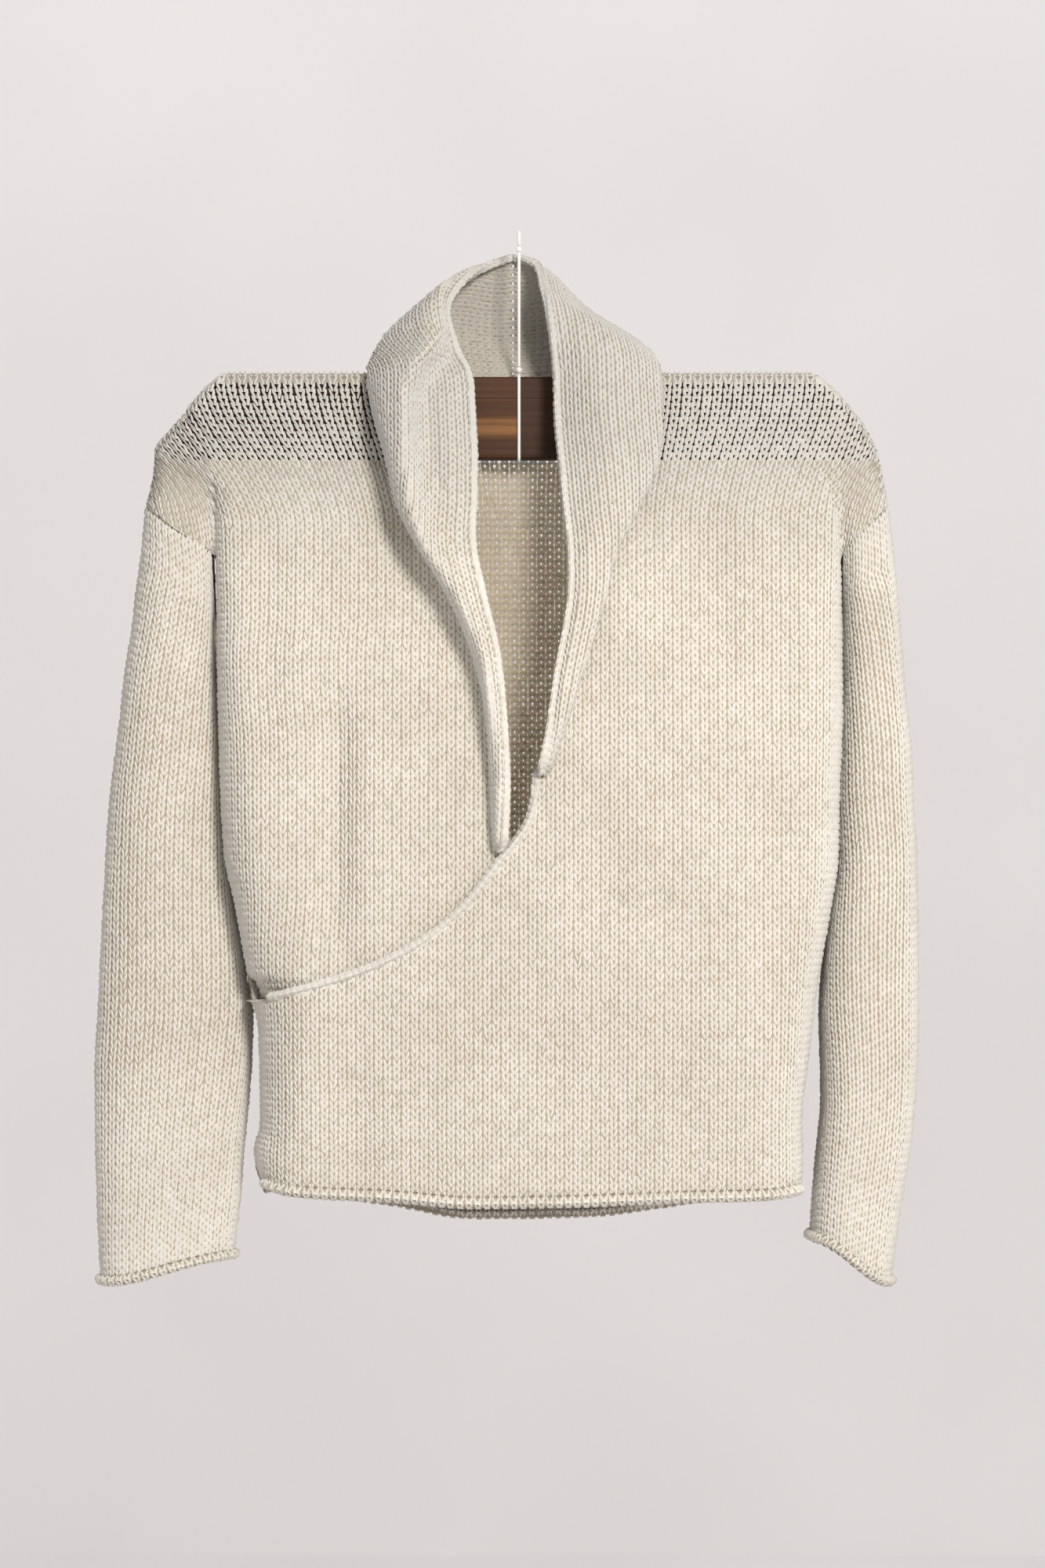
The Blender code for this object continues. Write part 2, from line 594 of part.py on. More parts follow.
def make_left_front():
    rows = heights(SHOULDER_ROWS + ARM_ROWS + LEFT_FRONT_ROWS)

    def start(z):
        side = column(BODY, "left", z) + WALL / 2
        return np.maximum(column(LEFT_FRONT_EDGE, "x", z), side) if z > WRAP_SEAM else side

    def end(z):
        return outer_edge(z, "right")

    grid = panel("front", rows, start, end, LEFT_FRONT_CELLS, rolled=True, row_shift=hem_shift("front"))
    return mesh_object("front_left", grid, CREAM)


def make_back():
    rows = heights(SHOULDER_ROWS + ARM_ROWS + BACK_ROWS)

    def start(z):
        return outer_edge(z, "left")

    def end(z):
        return outer_edge(z, "right")

    shift = hem_shift("back")

    def neck_and_hem(x, z):
        neck = ease((x - NECK_LEFT) / NECK_EASE) * ease((NECK_RIGHT - x) / NECK_EASE)
        drop = np.maximum(z - NECK_BACK, 0) * NECK_SHARE * neck
        return shift(x, z) - drop

    grid = panel("back", rows, start, end, BACK_COLUMNS, rolled=True, row_shift=neck_and_hem)
    return mesh_object("back", grid, CREAM)


def sleeve_grid(table, name, cuff_inner):
    """Rings from the armhole seam to the cuff, which then curls outwards."""
    sign = -1 if name == "left" else 1
    turn = np.linspace(0, 2 * math.pi, SLEEVE_CELLS, endpoint=False) + math.pi / SLEEVE_CELLS
    exponent = 2 / SLEEVE_POWER
    swing = np.sign(np.cos(turn)) * np.abs(np.cos(turn)) ** exponent
    bulge = np.sign(np.sin(turn)) * np.abs(np.sin(turn)) ** exponent
    share = (1 - swing) / 2
    seam_x = [getattr(row, name) * sign for row in ARM_SEAM]
    tip = seam_x[0] - WALL / 2
    pit = table[0].inner * sign
    x_top = tip + (pit - tip) * share
    top = np.interp(x_top, seam_x[::-1], [row.z for row in ARM_SEAM][::-1])
    top = top + (UNDERARM - ARM_FRONT) * ease((share - PIT_SHARE) / (1 - PIT_SHARE))
    top = top - SLEEVE_GAP - TIP_GAP * ease(1 - share / TIP_SHARE)
    cuff = CUFF_OUTER + (cuff_inner - CUFF_OUTER) * ease(share)
    rows = []
    for step in SLEEVE_STEPS:
        z = top + (cuff - top) * step
        outer = column(table, "outer", z) - sign * WALL / 2
        inner = column(table, "inner", z)
        front = column(table, "front", z)
        back = column(table, "back", z)
        x = (outer + inner) / 2 + (outer - inner) / 2 * swing
        shoulder = np.where(bulge > 0, -depth(x, z, "front"), depth(x, z, "back"))
        tube_y = (back - front) / 2 - (back + front) / 2 * bulge
        blend = ease((top - z) / SHOULDER_BLEND)
        rows.append(np.stack([x, shoulder * (1 - blend) + tube_y * blend, z], axis=1))
    grid = np.array(rows)
    return np.concatenate([grid, cuff_roll(grid[-1])])


def cuff_roll(last):
    outward = np.cross(np.roll(last, -1, axis=0) - np.roll(last, 1, axis=0), DOWN)
    outward[:, 2] = 0
    outward /= np.linalg.norm(outward, axis=1)[:, None]
    if np.sum(outward * (last - last.mean(axis=0))) < 0:
        outward = -outward
    return curl(last, outward)


def through(points, at):
    """A smooth curve through the given points, read at places from 0 to their count less one."""
    points = np.asarray(points, float)
    count = len(points)
    tangents = np.gradient(points, axis=0)
    at = np.clip(at, 0, count - 1)
    i = np.minimum(at.astype(int), count - 2)
    t = (at - i)[:, None]
    return (
        points[i] * (1 + 2 * t) * (1 - t) ** 2
        + tangents[i] * t * (1 - t) ** 2
        + points[i + 1] * t**2 * (3 - 2 * t)
        + tangents[i + 1] * t**2 * (t - 1)
    )


def collar_grid(stations, edges, side, under):
    """Rows of a collar half, from the front tip to the centre back seam."""
    along = np.linspace(0, len(stations) - 1, COLLAR_ROWS + 1)
    lines = {}
    for name in ("root", "bulge", "roll", "edge"):
        lines[name] = through([getattr(row, name) for row in stations], along)
    root = lines["root"]
    x = column(edges, "x", root[:, 2]) + side * ROOT_INSET
    y = -depth(x, root[:, 2], "front", under) - ROOT_SEAT
    seat = np.stack([x, y, root[:, 2]], axis=1)
    lines["root"] = root + (seat - root) * ease(ROOT_ON_FRONT - along)[:, None]
    lift = np.radians(np.interp(along, range(len(stations)), [row.lift for row in stations]))
    leave = np.stack([0 * lift, -np.cos(lift), np.sin(lift)], axis=1)
    lines["leave"] = lines["root"] + leave * ROOT_RUN
    last = len(COLLAR_NODES) - 1
    across = np.concatenate([[0.0], np.linspace(1, last, COLLAR_COLUMNS)])
    rows = []
    for j in range(len(along)):
        rows.append(through([lines[name][j] for name in COLLAR_NODES], across))
    return np.array(rows)


def make_bar():
    """The wooden bar: its outline lies inside the shoulders, its edges are rounded."""
    right = [(float(column(CAPS, "right", z)) - BAR_INSET, z) for z in BAR_LEVELS]
    left = [(float(column(CAPS, "left", z)) + BAR_INSET, z) for z in BAR_LEVELS]
    outline = [(BAR_LEFT, BAR_TOP), (BAR_RIGHT, BAR_TOP)] + right
    outline += [(right[-1][0] + BAR_FLARE, BAR_BOTTOM), (left[-1][0], BAR_BOTTOM)] + left[::-1]
    curve = bpy.data.curves.new("bar", "CURVE")
    curve.dimensions = "2D"
    curve.fill_mode = "BOTH"
    curve.extrude = BAR_THICK / 2 - BAR_EDGE
    curve.bevel_depth = BAR_EDGE
    curve.offset = -BAR_EDGE
    curve.bevel_resolution = BAR_EDGE_CELLS
    spline = curve.splines.new("POLY")
    spline.points.add(len(outline) - 1)
    for point, (x, z) in zip(spline.points, outline):
        point.co = (x, z, 0, 1)
    spline.use_cyclic_u = True
    bar = bpy.data.objects.new("bar", curve)
    bar.rotation_euler = (math.pi / 2, 0, 0)
    add(bar, WALNUT, roughness=0.45)


def tube(name, points, cyclic=False):
    curve = bpy.data.curves.new(name, "CURVE")
    curve.dimensions = "3D"
    curve.bevel_depth = CORD_RADIUS
    curve.bevel_resolution = CORD_SIDES
    curve.use_fill_caps = not cyclic
    spline = curve.splines.new("POLY")
    spline.points.add(len(points) - 1)
    for point, place in zip(spline.points, points):
        point.co = (*place, 1)
    spline.use_cyclic_u = cyclic
    obj = bpy.data.objects.new(name, curve)
    add(obj, WHITE, roughness=0.8)


def knot(name, z, radius):
    mesh = bmesh.new()
    bmesh.ops.create_uvsphere(mesh, u_segments=KNOT_CELLS, v_segments=KNOT_RINGS, radius=radius)
    data = bpy.data.meshes.new(name)
    mesh.to_mesh(data)
    mesh.free()
    data.shade_smooth()
    obj = bpy.data.objects.new(name, data)
    obj.location = (0, 0, z)
    add(obj, WHITE, roughness=0.8)


def make_cord():
    reach = BAR_THICK / 2 + CORD_GAP + CORD_RADIUS
    top = BAR_TOP + CORD_GAP + CORD_RADIUS
    bottom = BAR_BOTTOM - CORD_GAP - CORD_RADIUS
    corners = ((1, 1), (1, -1), (-1, -1), (-1, 1))
    hoop = []
    for number, (side, end) in enumerate(corners):
        centre_y = side * (reach - HOOP_CORNER)
        centre_z = top - HOOP_CORNER if end > 0 else bottom + HOOP_CORNER
        for step in range(HOOP_CORNER_CELLS + 1):
            angle = math.pi / 2 * (1 - number - step / HOOP_CORNER_CELLS)
            place_y = centre_y + HOOP_CORNER * math.cos(angle)
            hoop.append((0, place_y, centre_z + HOOP_CORNER * math.sin(angle)))
    tube("cord_hoop", hoop, cyclic=True)
    knot_z = top + CORD_RADIUS + CORD_GAP + KNOT_RADIUS
    knot("cord_knot", knot_z, KNOT_RADIUS)
    eye_bottom = -EYE_HEIGHT
    eye_knot_z = eye_bottom - CORD_GAP - EYE_KNOT_RADIUS
    knot("cord_eye_knot", eye_knot_z, EYE_KNOT_RADIUS)
    low = knot_z + KNOT_RADIUS + CORD_GAP
    high = eye_knot_z - EYE_KNOT_RADIUS - CORD_GAP
    run = [low + (high - low) * step / CORD_CELLS for step in range(CORD_CELLS + 1)]
    tube("cord_line", [(0, 0, z) for z in run])
    eye = []
    for step in range(EYE_CELLS):
        angle = 2 * math.pi * step / EYE_CELLS
        place_y = (EYE_WIDTH / 2 - CORD_RADIUS) * math.sin(angle)
        eye.append((0, place_y, -EYE_HEIGHT / 2 + (EYE_HEIGHT / 2 - CORD_RADIUS) * math.cos(angle)))
    tube("cord_eye", eye, cyclic=True)


for old in list(bpy.data.objects):
    bpy.data.objects.remove(old)
PARTS = bpy.data.collections.new("wrap_sweater")
bpy.context.scene.collection.children.link(PARTS)

make_right_front()
make_left_front()
make_back()
mesh_object("sleeve_right", sleeve_grid(RIGHT_SLEEVE, "left", CUFF_INNER_RIGHT), CREAM, around=True)
mesh_object("sleeve_left", sleeve_grid(LEFT_SLEEVE, "right", CUFF_INNER_LEFT), CREAM, around=True)
mesh_object("collar_right", collar_grid(RIGHT_COLLAR, RIGHT_FRONT_EDGE, -1, True), CREAM)
mesh_object("collar_left", collar_grid(LEFT_COLLAR, LEFT_FRONT_EDGE, 1, False), CREAM)
make_bar()
make_cord()
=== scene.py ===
# Wrap-front knitted sweater with a standing shawl collar, on a hanging wooden bar: its looks.
# Metres, +Z up, the front faces -Y, the origin is the top of the hanging cord's eye.
# Right and left in the names are the wearer's: the right front shows on the viewer's left.

import math
from collections import namedtuple

import bpy
import mathutils
import numpy as np
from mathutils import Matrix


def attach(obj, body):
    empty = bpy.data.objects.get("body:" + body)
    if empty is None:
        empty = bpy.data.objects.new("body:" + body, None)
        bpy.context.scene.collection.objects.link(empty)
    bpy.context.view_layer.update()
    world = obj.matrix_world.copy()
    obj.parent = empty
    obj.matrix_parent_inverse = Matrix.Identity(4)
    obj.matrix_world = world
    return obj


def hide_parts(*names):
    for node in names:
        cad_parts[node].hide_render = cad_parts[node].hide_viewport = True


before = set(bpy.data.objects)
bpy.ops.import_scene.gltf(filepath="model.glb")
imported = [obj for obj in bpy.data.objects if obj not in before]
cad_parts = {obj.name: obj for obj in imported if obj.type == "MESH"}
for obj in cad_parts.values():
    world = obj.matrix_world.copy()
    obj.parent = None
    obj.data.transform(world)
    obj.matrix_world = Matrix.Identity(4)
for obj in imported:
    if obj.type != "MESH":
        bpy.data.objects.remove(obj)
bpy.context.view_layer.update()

# Driving sizes
WALL = 0.003
SEAM_HALF = 0.0004
LAYER = WALL + 0.0016

# The bar under the shoulders
BAR_TOP = -0.0938
BAR_BOTTOM = -0.1465
BAR_CLEAR = 0.0005
SHOULDER_TOP = BAR_TOP + BAR_CLEAR + WALL / 2
SHOULDER_ROUND = 0.008
SHOULDER_POWER = 4.0

# Heights of the armholes
ARM_TOP = -0.175
ARM_FRONT = -0.206
UNDERARM = -0.2535

# The wrap: the left front's free edge meets the right side seam here
WRAP_SEAM = -0.4895
UNDER_START = -0.170
SIDE_STEP = 0.018
SIDE_EASE = 0.010
SIDE_LAYER = 1.4 * LAYER
LAYER_RUN = 0.060

# How softly the body turns into the drop shoulder, and where folds and borders calm down
CAP_BLEND = 0.014
CALM_WIDTH = 0.030
FOLD_FADE = 0.3

# Body outline at each height: outer edges, how far front and back stand from the bar's middle
# plane, and how widely and squarely the sides are rounded
Level = namedtuple("Level", "z left right front back edge round power")
BODY = (
    Level(-0.09, -0.195, 0.1925, 0.01, 0.01, 0.01, 0.01, 4.0),
    Level(-0.1465, -0.195, 0.1925, 0.0102, 0.0101, 0.01, 0.01, 4.0),
    Level(-0.163, -0.1945, 0.199, 0.016, 0.012, 0.0098, 0.014, 3.2),
    Level(-0.1845, -0.1935, 0.203, 0.0225, 0.0155, 0.009, 0.022, 2.6),
    Level(-0.206, -0.1935, 0.205, 0.0285, 0.0195, 0.0075, 0.028, 2.3),
    Level(-0.2535, -0.1935, 0.2065, 0.0355, 0.024, 0.0002, 0.034, 2.2),
    Level(-0.305, -0.1925, 0.207, 0.041, 0.027, 0.0002, 0.038, 2.2),
    Level(-0.357, -0.191, 0.205, 0.0445, 0.029, 0.0002, 0.04, 2.2),
    Level(-0.4015, -0.188, 0.204, 0.046, 0.03, 0.0002, 0.04, 2.2),
    Level(-0.428, -0.182, 0.2, 0.046, 0.03, 0.0002, 0.04, 2.2),
    Level(-0.487, -0.1715, 0.19, 0.045, 0.03, 0.0002, 0.04, 2.2),
    Level(-0.5115, -0.1665, 0.187, 0.0435, 0.03, 0.0002, 0.038, 2.2),
    Level(-0.572, -0.1655, 0.181, 0.039, 0.029, 0.0002, 0.036, 2.2),
    Level(-0.5985, -0.1695, 0.1815, 0.036, 0.028, 0.0002, 0.034, 2.2),
    Level(-0.625, -0.162, 0.18, 0.0345, 0.028, 0.0002, 0.032, 2.2),
)

# Shoulder outline down to the sleeves: outer edges, depth and rounding of the drop shoulder
Cap = namedtuple("Cap", "z left right depth round power")
CAPS = (
    Cap(-0.09, -0.188, 0.184, 0.01, 0.008, 4.0),
    Cap(-0.0935, -0.192, 0.191, 0.01, 0.008, 4.0),
    Cap(-0.1025, -0.203, 0.2025, 0.01, 0.008, 4.0),
    Cap(-0.114, -0.2125, 0.213, 0.01, 0.008, 4.0),
    Cap(-0.125, -0.2215, 0.2215, 0.01, 0.008, 4.0),
    Cap(-0.14, -0.233, 0.229, 0.01, 0.008, 4.0),
    Cap(-0.15, -0.2335, 0.2315, 0.0102, 0.009, 3.8),
    Cap(-0.164, -0.2355, 0.234, 0.012, 0.012, 3.2),
    Cap(-0.175, -0.2385, 0.236, 0.0145, 0.016, 2.8),
    Cap(-0.1935, -0.2402, 0.238, 0.0175, 0.021, 2.4),
    Cap(-0.21, -0.2418, 0.2398, 0.019, 0.024, 2.2),
)

# Armhole seam between the drop shoulder and the sleeve
Seam = namedtuple("Seam", "z left right")
ARM_SEAM = (
    Seam(ARM_TOP, -0.2385, 0.236),
    Seam(-0.183, -0.2285, 0.2275),
    Seam(-0.193, -0.2165, 0.2175),
    Seam(ARM_FRONT, -0.1935, 0.205),
)

# Inner edge of each front: the neckline under the collar, then the diagonal wrap
Edge = namedtuple("Edge", "z x")
RIGHT_FRONT_EDGE = (
    Edge(-0.09, -0.08),
    Edge(-0.133, -0.0775),
    Edge(-0.1575, -0.0715),
    Edge(-0.1785, -0.065),
    Edge(-0.203, -0.057),
    Edge(-0.235, -0.0415),
    Edge(-0.278, -0.025),
    Edge(-0.305, -0.019),
    Edge(-0.343, -0.016),
    Edge(-0.392, -0.014),
    Edge(-0.408, 0.002),
    Edge(-0.428, 0.025),
    Edge(-0.448, 0.055),
    Edge(-0.465, 0.095),
    Edge(-0.478, 0.135),
    Edge(-0.486, 0.165),
    Edge(WRAP_SEAM, 0.186),
)
LEFT_FRONT_EDGE = (
    Edge(-0.09, 0.072),
    Edge(-0.133, 0.0715),
    Edge(-0.163, 0.0675),
    Edge(-0.178, 0.0605),
    Edge(-0.191, 0.0545),
    Edge(-0.209, 0.048),
    Edge(-0.2415, 0.0425),
    Edge(-0.286, 0.0345),
    Edge(-0.318, 0.0265),
    Edge(-0.341, 0.0185),
    Edge(-0.356, 0.012),
    Edge(-0.3775, 0.0055),
    Edge(-0.3905, -0.0035),
    Edge(-0.4005, -0.0115),
    Edge(-0.4295, -0.0345),
    Edge(-0.4485, -0.0565),
    Edge(-0.4615, -0.0785),
    Edge(-0.4735, -0.1075),
    Edge(-0.482, -0.137),
    Edge(-0.487, -0.156),
    Edge(WRAP_SEAM, -0.17),
)

# Hems, across the body
Hem = namedtuple("Hem", "x front back")
HEMS = (
    Hem(-0.17, -0.606, -0.612),
    Hem(-0.14, -0.613, -0.616),
    Hem(-0.08, -0.616, -0.624),
    Hem(-0.03, -0.62, -0.632),
    Hem(0.04, -0.619, -0.631),
    Hem(0.1, -0.6165, -0.624),
    Hem(0.15, -0.6155, -0.616),
    Hem(0.185, -0.612, -0.612),
)
UNDER_HEM_LIFT = 0.012
HEM_LEVEL = -0.6200
HEM_BLEND_TOP = -0.5400

# Back neckline between the shoulders: its ends, its height and how quickly it drops
NECK_LEFT = -0.0780
NECK_RIGHT = 0.0700
NECK_EASE = 0.012
NECK_BACK = -0.0985
NECK_SHARE = 0.9

# Soft folds in the cloth: a line from top to low, depth inwards, half width across
Fold = namedtuple("Fold", "x_top z_top x_low z_low depth width")
FRONT_FOLDS = (
    Fold(-0.115, -0.265, -0.117, -0.485, 0.0075, 0.013),
    Fold(-0.092, -0.15, -0.05, -0.285, 0.006, 0.017),
    Fold(-0.156, -0.16, -0.162, -0.36, 0.002, 0.012),
    Fold(0.125, -0.17, 0.115, -0.36, 0.0025, 0.018),
    Fold(0.168, -0.22, 0.156, -0.52, 0.003, 0.014),
    Fold(-0.11, -0.52, -0.09, -0.63, 0.0022, 0.014),
    Fold(0.05, -0.52, 0.055, -0.635, 0.002, 0.02),
)
BACK_FOLDS = (
    Fold(0.0, -0.06, 0.0, -0.2, -0.0045, 0.024),
    Fold(-0.11, -0.21, -0.115, -0.52, 0.0055, 0.015),
    Fold(0.115, -0.23, 0.105, -0.56, 0.005, 0.016),
    Fold(0.01, -0.3, 0.015, -0.62, 0.003, 0.018),
)

# Sleeves: outer and inner edges, how far the front and back walls stand from the bar's plane
Ring = namedtuple("Ring", "z outer inner front back")
RIGHT_SLEEVE = (
    Ring(ARM_TOP, -0.2385, -0.1955, 0.015, 0.015),
    Ring(-0.206, -0.2415, -0.1955, 0.0185, 0.02),
    Ring(-0.2275, -0.245, -0.1956, 0.017, 0.03),
    Ring(-0.2535, -0.2485, -0.1954, 0.0135, 0.04),
    Ring(-0.2795, -0.253, -0.1945, 0.011, 0.046),
    Ring(-0.314, -0.257, -0.193, 0.009, 0.049),
    Ring(-0.3655, -0.2635, -0.1905, 0.0075, 0.048),
    Ring(-0.4215, -0.267, -0.185, 0.006, 0.046),
    Ring(-0.4715, -0.2695, -0.177, 0.0055, 0.043),
    Ring(-0.503, -0.271, -0.1735, 0.0055, 0.04),
    Ring(-0.5355, -0.2725, -0.1745, 0.0055, 0.037),
    Ring(-0.584, -0.272, -0.179, 0.006, 0.034),
    Ring(-0.6175, -0.271, -0.1815, 0.0065, 0.034),
    Ring(-0.6415, -0.27, -0.1845, 0.008, 0.035),
    Ring(-0.675, -0.268, -0.187, 0.01, 0.036),
)
LEFT_SLEEVE = (
    Ring(ARM_TOP, 0.236, 0.207, 0.015, 0.015),
    Ring(-0.206, 0.2392, 0.2072, 0.0185, 0.02),
    Ring(-0.2275, 0.242, 0.208, 0.019, 0.032),
    Ring(-0.2535, 0.2445, 0.2086, 0.017, 0.043),
    Ring(-0.2965, 0.2485, 0.2085, 0.015, 0.05),
    Ring(-0.331, 0.252, 0.207, 0.0145, 0.052),
    Ring(-0.3655, 0.2535, 0.205, 0.014, 0.052),
    Ring(-0.4, 0.2555, 0.2052, 0.014, 0.051),
    Ring(-0.45, 0.2565, 0.199, 0.0135, 0.049),
    Ring(-0.503, 0.2565, 0.1955, 0.014, 0.047),
    Ring(-0.5295, 0.256, 0.1962, 0.0145, 0.046),
    Ring(-0.554, 0.2545, 0.1965, 0.015, 0.045),
    Ring(-0.594, 0.25, 0.193, 0.0155, 0.044),
    Ring(-0.624, 0.245, 0.1905, 0.016, 0.043),
    Ring(-0.675, 0.238, 0.188, 0.0165, 0.042),
)
SLEEVE_POWER = 2.3
SLEEVE_GAP = 0.0008
TIP_GAP = 0.0011
TIP_SHARE = 0.45
SHOULDER_BLEND = 0.055
PIT_SHARE = 0.93
CUFF_OUTER = -0.6725
CUFF_INNER_RIGHT = -0.6560
CUFF_INNER_LEFT = -0.6440

# Collar halves: stations from the front tip up round the neck to the centre back seam.
# Across each station: root on the neckline, outer bulge, roll at the front, free edge.
# The lift is the direction in which the root leaves the neckline: 0 forward, 90 up.
# Down the front, the root is drawn onto the outer face of the front beside its edge.
Station = namedtuple("Station", "root lift bulge roll edge")
RIGHT_COLLAR = (
    Station((-0.0115, -0.045, -0.388), 0, (-0.0145, -0.0535, -0.388),
            (-0.0125, -0.057, -0.3875), (-0.009, -0.056, -0.387)),
    Station((-0.013, -0.044, -0.343), 0, (-0.0165, -0.054, -0.343),
            (-0.013, -0.06, -0.343), (-0.008, -0.057, -0.343)),
    Station((-0.022, -0.04, -0.278), 0, (-0.0255, -0.052, -0.278),
            (-0.021, -0.061, -0.278), (-0.013, -0.054, -0.278)),
    Station((-0.0385, -0.035, -0.235), 0, (-0.044, -0.048, -0.235),
            (-0.038, -0.059, -0.235), (-0.0225, -0.052, -0.235)),
    Station((-0.054, -0.03, -0.203), 0, (-0.064, -0.043, -0.203),
            (-0.0555, -0.056, -0.203), (-0.029, -0.045, -0.203)),
    Station((-0.062, -0.026, -0.1785), 0, (-0.0765, -0.039, -0.1785),
            (-0.067, -0.0535, -0.178), (-0.0285, -0.04, -0.173)),
    Station((-0.069, -0.021, -0.148), 0, (-0.084, -0.033, -0.148),
            (-0.073, -0.05, -0.1475), (-0.0285, -0.033, -0.144)),
    Station((-0.074, -0.0185, -0.118), 10, (-0.0925, -0.026, -0.118),
            (-0.076, -0.047, -0.115), (-0.03, -0.026, -0.116)),
    Station((-0.0765, -0.0118, -0.0925), 30, (-0.0965, -0.018, -0.093),
            (-0.07, -0.04, -0.09), (-0.032, -0.02, -0.093)),
    Station((-0.0768, -0.002, -0.0891), 60, (-0.093, -0.007, -0.079),
            (-0.059, -0.028, -0.072), (-0.04, -0.014, -0.076)),
    Station((-0.071, 0.0085, -0.0915), 80, (-0.08, 0.014, -0.063),
            (-0.053, -0.006, -0.04), (-0.046, -0.003, -0.048)),
    Station((-0.038, 0.0118, -0.0972), 90, (-0.046, 0.033, -0.06),
            (-0.0345, 0.029, -0.0235), (-0.029, 0.023, -0.0245)),
    Station((-0.0044, 0.0122, -0.0972), 90, (-0.0044, 0.037, -0.06),
            (-0.0044, 0.0345, -0.0225), (-0.0044, 0.031, -0.014)),
)
LEFT_COLLAR = (
    Station((0.016, -0.05, -0.342), 0, (0.0185, -0.056, -0.34),
            (0.017, -0.0585, -0.339), (0.015, -0.057, -0.3385)),
    Station((0.023, -0.048, -0.318), 0, (0.028, -0.056, -0.317),
            (0.0235, -0.061, -0.317), (0.0195, -0.058, -0.317)),
    Station((0.031, -0.045, -0.288), 0, (0.0385, -0.0545, -0.287),
            (0.031, -0.0615, -0.286), (0.024, -0.057, -0.285)),
    Station((0.039, -0.04, -0.2415), 0, (0.053, -0.051, -0.2415),
            (0.042, -0.06, -0.2415), (0.032, -0.055, -0.24)),
    Station((0.0445, -0.035, -0.209), 0, (0.061, -0.047, -0.209),
            (0.048, -0.0575, -0.208), (0.0325, -0.052, -0.206)),
    Station((0.056, -0.031, -0.179), 0, (0.076, -0.041, -0.179),
            (0.054, -0.0545, -0.178), (0.0295, -0.046, -0.177)),
    Station((0.064, -0.025, -0.153), 0, (0.087, -0.034, -0.153),
            (0.059, -0.05, -0.152), (0.027, -0.04, -0.151)),
    Station((0.068, -0.019, -0.123), 10, (0.091, -0.026, -0.123),
            (0.059, -0.045, -0.122), (0.0245, -0.033, -0.122)),
    Station((0.0695, -0.0118, -0.0925), 30, (0.091, -0.018, -0.094),
            (0.057, -0.04, -0.091), (0.0235, -0.028, -0.092)),
    Station((0.0692, -0.002, -0.0891), 60, (0.0865, -0.007, -0.081),
            (0.054, -0.023, -0.0655), (0.0195, -0.02, -0.056)),
    Station((0.063, 0.0085, -0.0915), 80, (0.0705, 0.016, -0.068),
            (0.038, 0.002, -0.048), (0.016, -0.006, -0.037)),
    Station((0.033, 0.0118, -0.0972), 90, (0.0385, 0.033, -0.062),
            (0.024, 0.024, -0.029), (0.0115, 0.015, -0.0205)),
    Station((-0.0032, 0.0122, -0.0972), 90, (-0.0032, 0.037, -0.06),
            (-0.0032, 0.0345, -0.0225), (-0.0032, 0.031, -0.014)),
)
ROOT_RUN = 0.005
ROOT_INSET = 0.0018
ROOT_SEAT = WALL / 2 + 0.0008
ROOT_ON_FRONT = 8.5

COLLAR_NODES = ("root", "leave", "bulge", "roll", "edge")

# Cord: one turn round the bar, a knot, a straight stretch and a small eye
CORD_RADIUS = 0.001
CORD_GAP = 0.0003
CORD_CELLS = 14
EYE_HEIGHT = 0.010
KNOT_RADIUS = 0.0021
EYE_KNOT_RADIUS = 0.0018


def smooth(at, knots, values):
    """A smooth curve through (knots, values), with no overshoot, read at the places `at`."""
    knots = np.asarray(knots, float)
    values = np.asarray(values, float)
    if knots[0] > knots[-1]:
        knots, values = knots[::-1], values[::-1]
    steps = np.diff(knots)
    slopes = np.diff(values) / steps
    product = slopes[1:] * slopes[:-1]
    total = slopes[1:] + slopes[:-1]
    inner = np.where(product > 0, 2 * product / np.where(total == 0, 1, total), 0)
    tangents = np.concatenate([slopes[:1], inner, slopes[-1:]])
    at = np.clip(np.asarray(at, float), knots[0], knots[-1])
    i = np.clip(np.searchsorted(knots, at, side="right") - 1, 0, len(steps) - 1)
    t = (at - knots[i]) / steps[i]
    return (
        values[i] * (1 + 2 * t) * (1 - t) ** 2
        + steps[i] * tangents[i] * t * (1 - t) ** 2
        + values[i + 1] * t**2 * (3 - 2 * t)
        + steps[i] * tangents[i + 1] * t**2 * (t - 1)
    )


def column(table, name, z):
    return smooth(z, [row.z for row in table], [getattr(row, name) for row in table])


def ease(t):
    t = np.clip(t, 0, 1)
    return t * t * (3 - 2 * t)


def rounding(distance, radius, power):
    """Rises from 0 at the border to 1 at the radius, like the side of a rounded square."""
    t = np.clip(distance / radius, 0, 1)
    return (1 - (1 - t) ** power) ** (1 / power)


def fold_depth(folds, x, z):
    total = np.zeros(np.broadcast(x, z).shape)
    for fold in folds:
        along = (z - fold.z_top) / (fold.z_low - fold.z_top)
        middle = fold.x_top + (fold.x_low - fold.x_top) * along
        fade = ease(along / FOLD_FADE) * ease((1 - along) / FOLD_FADE)
        total += fold.depth * fade * np.exp(-(((x - middle) / fold.width) ** 2))
    return total


